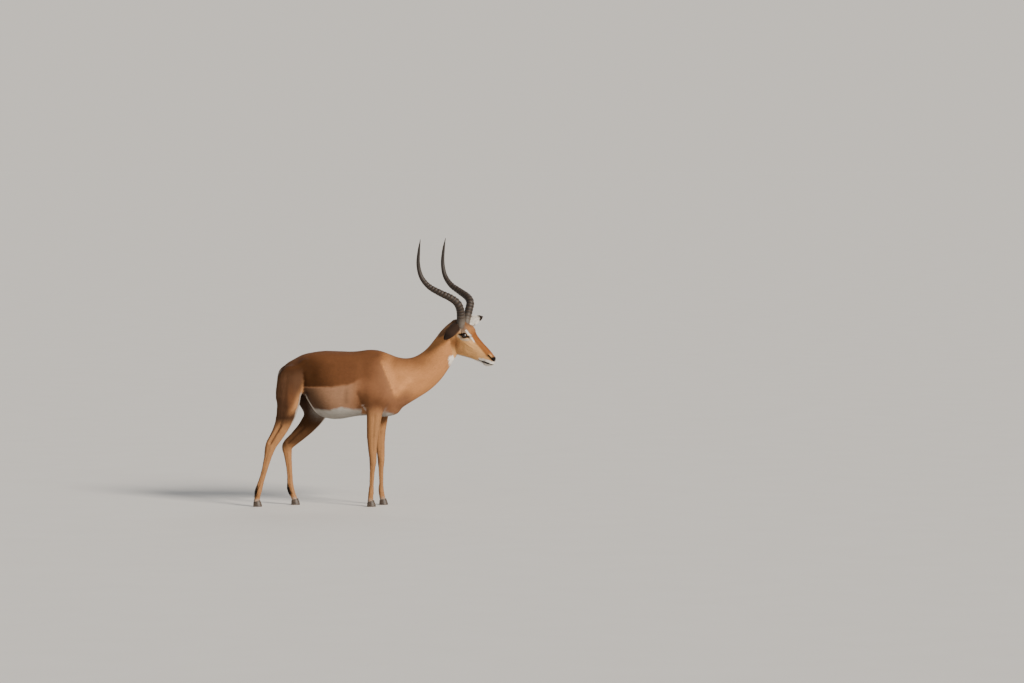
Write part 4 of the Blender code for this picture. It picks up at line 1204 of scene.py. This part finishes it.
# ------------------------------------------------------------------ coat: locks
# A lock is a small closed blade with a raised middle, widest a little before the middle of its length,
# with its tip lying over the next.
LOCK_FACES = np.array((
    (0, 2, 1), (0, 3, 4), (0, 4, 1), (1, 4, 5), (1, 5, 2),
    (2, 5, 3), (2, 3, 0), (3, 6, 4), (4, 6, 5), (5, 6, 3)))
LOCK_MIDDLE, LOCK_ROOT, LOCK_DEPTH = 0.42, 0.30, 0.08
ROOT_DEPTH, TILT = 0.0003, 0.22
PATCH = np.array(((-0.5, -0.5), (0, -0.5), (0.5, -0.5), (-0.5, 0.1), (0, 0.1), (0.5, 0.1), (0, 0.5))) * 0.0030


def locks(name, root, normal, part, long, wide, lift, lie=None, curl=0.10):
    """Adds one piece of coat made of many locks."""
    n = len(root)
    tone = coat_colour(root, normal, part)
    if lie is None:
        lie = lie_of_hair(root, normal, part)
    else:
        lie = unit(lie - normal * (lie * normal).sum(axis=1)[:, None])
    across = np.cross(normal, lie)
    lie = unit(lie + across * rng.normal(0, curl, n)[:, None])
    across = np.cross(normal, lie)
    long = long * rng.uniform(0.75, 1.2, n)
    wide = wide * rng.uniform(0.75, 1.2, n)
    lift = lift * rng.uniform(0.7, 1.0, n)
    base = root - normal * ROOT_DEPTH
    to_middle = lie * (long * LOCK_MIDDLE)[:, None]
    middle_spot, middle_normal = held(root + to_middle, lift * 0.50)
    tip, tip_normal = held(root + lie * long[:, None], lift)
    thin = part >= 8
    middle_spot[thin] = (root + to_middle + normal * (lift * 0.5)[:, None])[thin]
    middle_normal[thin] = tip_normal[thin] = normal[thin]
    tip[thin] = (root + lie * long[:, None] + normal * lift[:, None])[thin]
    middle_across = unit(np.cross(middle_normal, lie))
    root_half = across * (wide * LOCK_ROOT)[:, None]
    half = middle_across * (wide * 0.5)[:, None]
    rounding = middle_normal * (wide * LOCK_DEPTH * 0.5)[:, None]
    spots = np.stack((base - root_half, base + normal * (wide * LOCK_DEPTH)[:, None], base + root_half,
                      middle_spot - half - rounding, middle_spot + rounding, middle_spot + half - rounding,
                      tip), axis=1)
    faces = (np.arange(n)[:, None, None] * 7 + LOCK_FACES[None]).reshape(-1, 3)
    mesh = bpy.data.meshes.new(name)
    mesh.vertices.add(n * 7)
    mesh.vertices.foreach_set("co", spots.ravel())
    mesh.loops.add(len(faces) * 3)
    mesh.loops.foreach_set("vertex_index", faces.ravel().astype(np.int32))
    mesh.polygons.add(len(faces))
    mesh.polygons.foreach_set("loop_start", np.arange(0, len(faces) * 3, 3, dtype=np.int32))
    mesh.update(calc_edges=True)
    mesh.validate()
    # Each lock is shaded with the skin's own slope and only slightly rounded, as sleek hair is.
    facing = np.stack((normal,) * 3 + (middle_normal,) * 3 + (tip_normal,), axis=1)
    facing = facing + across[:, None, :] * (np.array((-1, 0, 1, -1, 0, 1, 0)) * TILT)[None, :, None]
    mesh.normals_split_custom_set_from_vertices(unit(facing.reshape(-1, 3)))
    light = rng.normal(1.0, 0.06, (n, 1)) * (1 + rng.normal(0, 0.012, (n, 3)))
    grade = np.array((0.92, 0.95, 0.92, 0.99, 1.01, 0.99, 1.04))
    give_colour(mesh, "coat", ((tone * light)[:, None, :] * grade[None, :, None]).reshape(-1, 3))
    centre = map_place(root, normal, part)
    where = (centre[:, None, :] + PATCH[None]).reshape(-1, 2)
    layer = mesh.uv_layers.new(name="OFBake")
    layer.data.foreach_set("uv", where[faces.ravel()].ravel().astype(np.float32))
    mesh.materials.append(lock_material)
    place_piece(name, mesh, "coat")


lock_material = hair_material("hair", 0.0, 0.70)
tp = triangle_part
tx, ty, tz = triangle_plan.T
head_triangle = in_head(triangle_spot)
bare = near(head_triangle[:, 0] - 0.30, 0.034) * (tp == 2)
eye_bare = np.zeros(len(area))
for side in (1, -1):
    u, v, reach, ahead = eye_angles(triangle_spot, side)
    eye_bare = np.maximum(eye_bare, (reach < 0.040) * (ahead > -0.002) * fall(lid_edge(u, v), 0.06, 0.16))
face_weight = np.clip(1 - bare * 1.4, 0, 1) * (1 - eye_bare)


def spread(name, mask, count, long, wide, lift):
    """An even coat over part of the skin, each measure given as a number or by place."""
    root, normal, part = scatter(mask * face_weight, count)
    rows = [value(root) if callable(value) else np.full(count, value) for value in (long, wide, lift)]
    locks(name, root, normal, part, *rows)


def up_the_leg(least, more):
    return lambda root: least + more * rise(root[:, 2], 0.3, 0.5)


def down_the_nose(most, less):
    return lambda root: most - less * rise(in_head(root)[:, 0], 0.10, 0.26)


for side, word, fore_number, hind_number in ((-1, "right", 5, 7), (1, "left", 4, 6)):
    own = ty * side > 0
    spread(f"coat_rump_{word}", own * (tp == 0) * (tx < -0.28), 12500, 0.018, 0.0030, 0.0006)
    spread(f"coat_back_{word}", own * (tp == 0) * (tx >= -0.28), 16500, 0.018, 0.0030, 0.0006)
    spread(f"coat_neck_{word}", own * (tp == 1), 10500, 0.017, 0.0028, 0.0006)
    thigh = (tp == hind_number) * (1.0 + 0.6 * (tz < 0.35))
    spread(f"coat_hindleg_{word}", thigh, 11500, up_the_leg(0.008, 0.008), up_the_leg(0.0016, 0.0012), 0.0007)
    foreleg = (tp == fore_number) * 1.0
    spread(f"coat_foreleg_{word}", foreleg, 5500, up_the_leg(0.008, 0.006), up_the_leg(0.0016, 0.0010), 0.0007)
spread("coat_head", (tp == 2) * 1.0, 14000, down_the_nose(0.0085, 0.0045), down_the_nose(0.0016, 0.0007),
       0.0005)
spread("coat_ears", (tp >= 8) * 1.0, 3500, 0.0080, 0.0013, 0.0006)


# ------------------------------------------------------------------ coat: longer hair
# Brush of the tail, black tufts over the hind feet, fringes inside the ears, at the back of the thighs,
# along the belly, at the throat and over the hooves, and the lashes.
def tufts(mask, count, long, wide, lift):
    """Roots of longer hair: point, normal, part, length, width and lift."""
    return (*scatter(mask, count), *(np.full(count, value) for value in (long, wide, lift)))


pieces = [tufts((tp == 3) * rise(0.80 - tz, 0, 0.10), 2600, 0.040, 0.0026, 0.0030)]
for side, number in ((1, 6), (-1, 7)):
    x, z = HIND[side][2]
    gland = near(tz - z, 0.024, 4) * (tx < x + 0.002) * (tp == number)
    pieces.append(tufts(gland, 420, 0.022, 0.0020, 0.0050))
buttock = (tx < -0.50) * (tz > 0.52) * (tz < 0.80) * (tp != 3)
belly = (tp == 0) * (tz < 0.56) * (tx > -0.34) * (tx < 0.06)
brisket = (tp <= 1) * (tx > 0.06) * (tx < 0.20) * (tz < 0.60)
throat = (tp <= 2) * (tx > 0.42) * (tz < 0.88) * (np.abs(ty) < 0.2)
nape = (tp <= 2) * (tp >= 1) * (tx > 0.38) * (tz > 0.98) * (head_triangle[:, 0] < 0.02)
crown = (tp == 2) * near(head_triangle[:, 0] - 0.012, 0.020)
crown = crown * (np.abs(head_triangle[:, 1]) < 0.045) * (head_triangle[:, 2] > 0.03)
pieces += [
    tufts(buttock, 2600, 0.022, 0.0026, 0.0024),
    tufts(belly, 2200, 0.022, 0.0028, 0.0016),
    tufts(brisket, 900, 0.020, 0.0026, 0.0015),
    tufts(throat, 900, 0.014, 0.0022, 0.0014),
    tufts(nape, 1200, 0.016, 0.0022, 0.0024),
    tufts(crown, 1200, 0.013, 0.0018, 0.0024),
    tufts((tz < 0.046) * 1.0, 900, 0.009, 0.0015, 0.0012),
]
locks("coat_long_hair", *map(np.concatenate, zip(*pieces)), curl=0.16)

# Inside the ears the hair stands across the cup from both edges.
ear_rows = []
for side, number in EAR_PARTS:
    root, along, opening, across = ear_frame(side)
    cup = rise(unit(triangle_way) @ opening, 0.0, 0.4) * (tp == number)
    cup = cup * ((triangle_spot - root) @ along < 0.125)
    row = tufts(cup, 600, 0.018, 0.0011, 0.0042)
    towards = along * 0.9 - across * np.sign((row[0] - root) @ across)[:, None] * 0.5
    ear_rows.append((*row, towards))
*ear_rows, towards = map(np.concatenate, zip(*ear_rows))
locks("coat_ear_fringe", *ear_rows, lie=towards, curl=0.2)

# Lashes on the upper lids.
LASHES, LASH_LONG, LASH_HALF_WIDE = 46, 0.0085, 0.00035
bm = bmesh.new()
lash_rows = []
for side in (1, -1):
    out, long, high = (HEAD_TURN @ Vector(axis) for axis in eye_axes(side))
    for k in range(LASHES):
        u = -0.95 + 1.9 * k / (LASHES - 1)
        v = OPEN_HIGH * (1 - (u / OPEN_LONG) ** 2) + 0.06
        ray = (out * math.cos(u) + long * math.sin(u)) * math.cos(v) + high * math.sin(v)
        spot = middle("eye_left" if side > 0 else "eye_right") + ray * (EYE_RADIUS + 0.0012)
        lash_rows.append((spot, ray, (high * 0.7 + out * 0.25 + long * 0.5 * u + ray * 0.55).normalized()))
for spot, ray, lean in lash_rows:
    across = lean.cross(ray).normalized() * LASH_HALF_WIDE
    base = [bm.verts.new(spot - across), bm.verts.new(spot + across), bm.verts.new(spot + ray * 0.0006)]
    half = [bm.verts.new(spot + lean * 0.0045 + (v.co - spot) * 0.7) for v in base]
    tip = bm.verts.new(spot + lean * LASH_LONG + Vector((0, 0, -0.0010)))
    bm.faces.new((base[0], base[2], base[1]))
    for j in range(3):
        k = (j + 1) % 3
        bm.faces.new((base[j], base[k], half[k], half[j]))
        bm.faces.new((half[j], half[k], tip))
bmesh.ops.recalc_face_normals(bm, faces=bm.faces)
lashes = bpy.data.meshes.new("lashes")
bm.to_mesh(lashes)
bm.free()
lash_nodes = Nodes("lash")
lash_place = lash_nodes.new("TexCoord").outputs["Object"]
lash_noise = lash_nodes.new("TexNoise", Vector=lash_place, Scale=300.0)
lash_colour = lash_nodes.ramp(lash_noise, (0.0, shade(16, 13, 12)), (1.0, shade(44, 34, 28)))
lash_nodes.surface_is(Base_Color=lash_colour, Roughness=0.5)
lashes.materials.append(lash_nodes.material)
place_piece("lashes", lashes, "coat")


# ------------------------------------------------------------------ studio
# A wide, level, pale floor under an even sky of the same tone, a soft warm key from ahead and to the
# right, and dim fill. Only the camera sees the pale sky, so it doesn't flatten the shading.
FLOOR_REACH = 150.0
bm = bmesh.new()
bmesh.ops.create_grid(bm, x_segments=1, y_segments=1, size=FLOOR_REACH)
level = bpy.data.meshes.new("level")
bm.to_mesh(level)
bm.free()
floor = linked("studio_floor", level)
floor_nodes = Nodes("studio_floor")
floor_place = floor_nodes.new("TexCoord").outputs["Object"]
floor_noise = floor_nodes.new("TexNoise", Vector=floor_place, Scale=3.0, Detail=4.0)
floor_colour = floor_nodes.ramp(floor_noise, (0.0, shade(222, 218, 212)), (1.0, shade(228, 224, 218)))
floor_nodes.surface_is(Base_Color=floor_colour, Roughness=0.9, Specular_IOR_Level=0.0)
level.materials.append(floor_nodes.material)


def soft_light(name, towards, strength, spread_angle, tint):
    light = bpy.data.lights.new(name, "SUN")
    light.energy = strength
    light.angle = math.radians(spread_angle)
    light.color = tint
    lamp = linked(name, light)
    lamp.rotation_euler = Vector(towards).to_track_quat("Z", "Y").to_euler()


soft_light("key", (0.60, -0.70, 0.47), 4.9, 16, (1.0, 0.93, 0.84))
soft_light("fill", (-0.30, -0.90, 0.25), 0.25, 60, (0.90, 0.95, 1.0))
soft_light("back", (0.25, 0.90, 0.45), 1.0, 40, (0.92, 0.95, 1.0))
world = bpy.data.worlds.new("studio")
world.use_nodes = True
sky = world.node_tree
dome = sky.nodes["Background"]
dome.inputs["Color"].default_value = (0.80, 0.84, 0.90, 1)
dome.inputs["Strength"].default_value = 0.26
seen = sky.nodes.new("ShaderNodeBackground")
seen.inputs["Color"].default_value = (0.806, 0.750, 0.678, 1)
ray, choice = sky.nodes.new("ShaderNodeLightPath"), sky.nodes.new("ShaderNodeMixShader")
sky.links.new(ray.outputs["Is Camera Ray"], choice.inputs["Fac"])
sky.links.new(dome.outputs[0], choice.inputs[1])
sky.links.new(seen.outputs[0], choice.inputs[2])
sky.links.new(choice.outputs[0], sky.nodes["World Output"].inputs["Surface"])
bpy.context.scene.world = world

# The camera stands far off at about a grown person's height, square to the animal's right side.
CAMERA_AWAY, CAMERA_RISE = 30.0, math.radians(2.6)
VIEW_WIDE, SENSOR_WIDE = 5.888, 36.0
AIM = body_origin + Vector((0.799, 0.0, 0.946))
camera = bpy.data.cameras.new("camera")
camera.sensor_width = SENSOR_WIDE
camera.lens = SENSOR_WIDE * CAMERA_AWAY / VIEW_WIDE
camera.clip_end = 200
viewer = linked("camera", camera)
look = Vector((0, -math.cos(CAMERA_RISE), math.sin(CAMERA_RISE)))
viewer.location = AIM + look * CAMERA_AWAY
viewer.rotation_euler = look.to_track_quat("Z", "Y").to_euler()
bpy.context.scene.camera = viewer
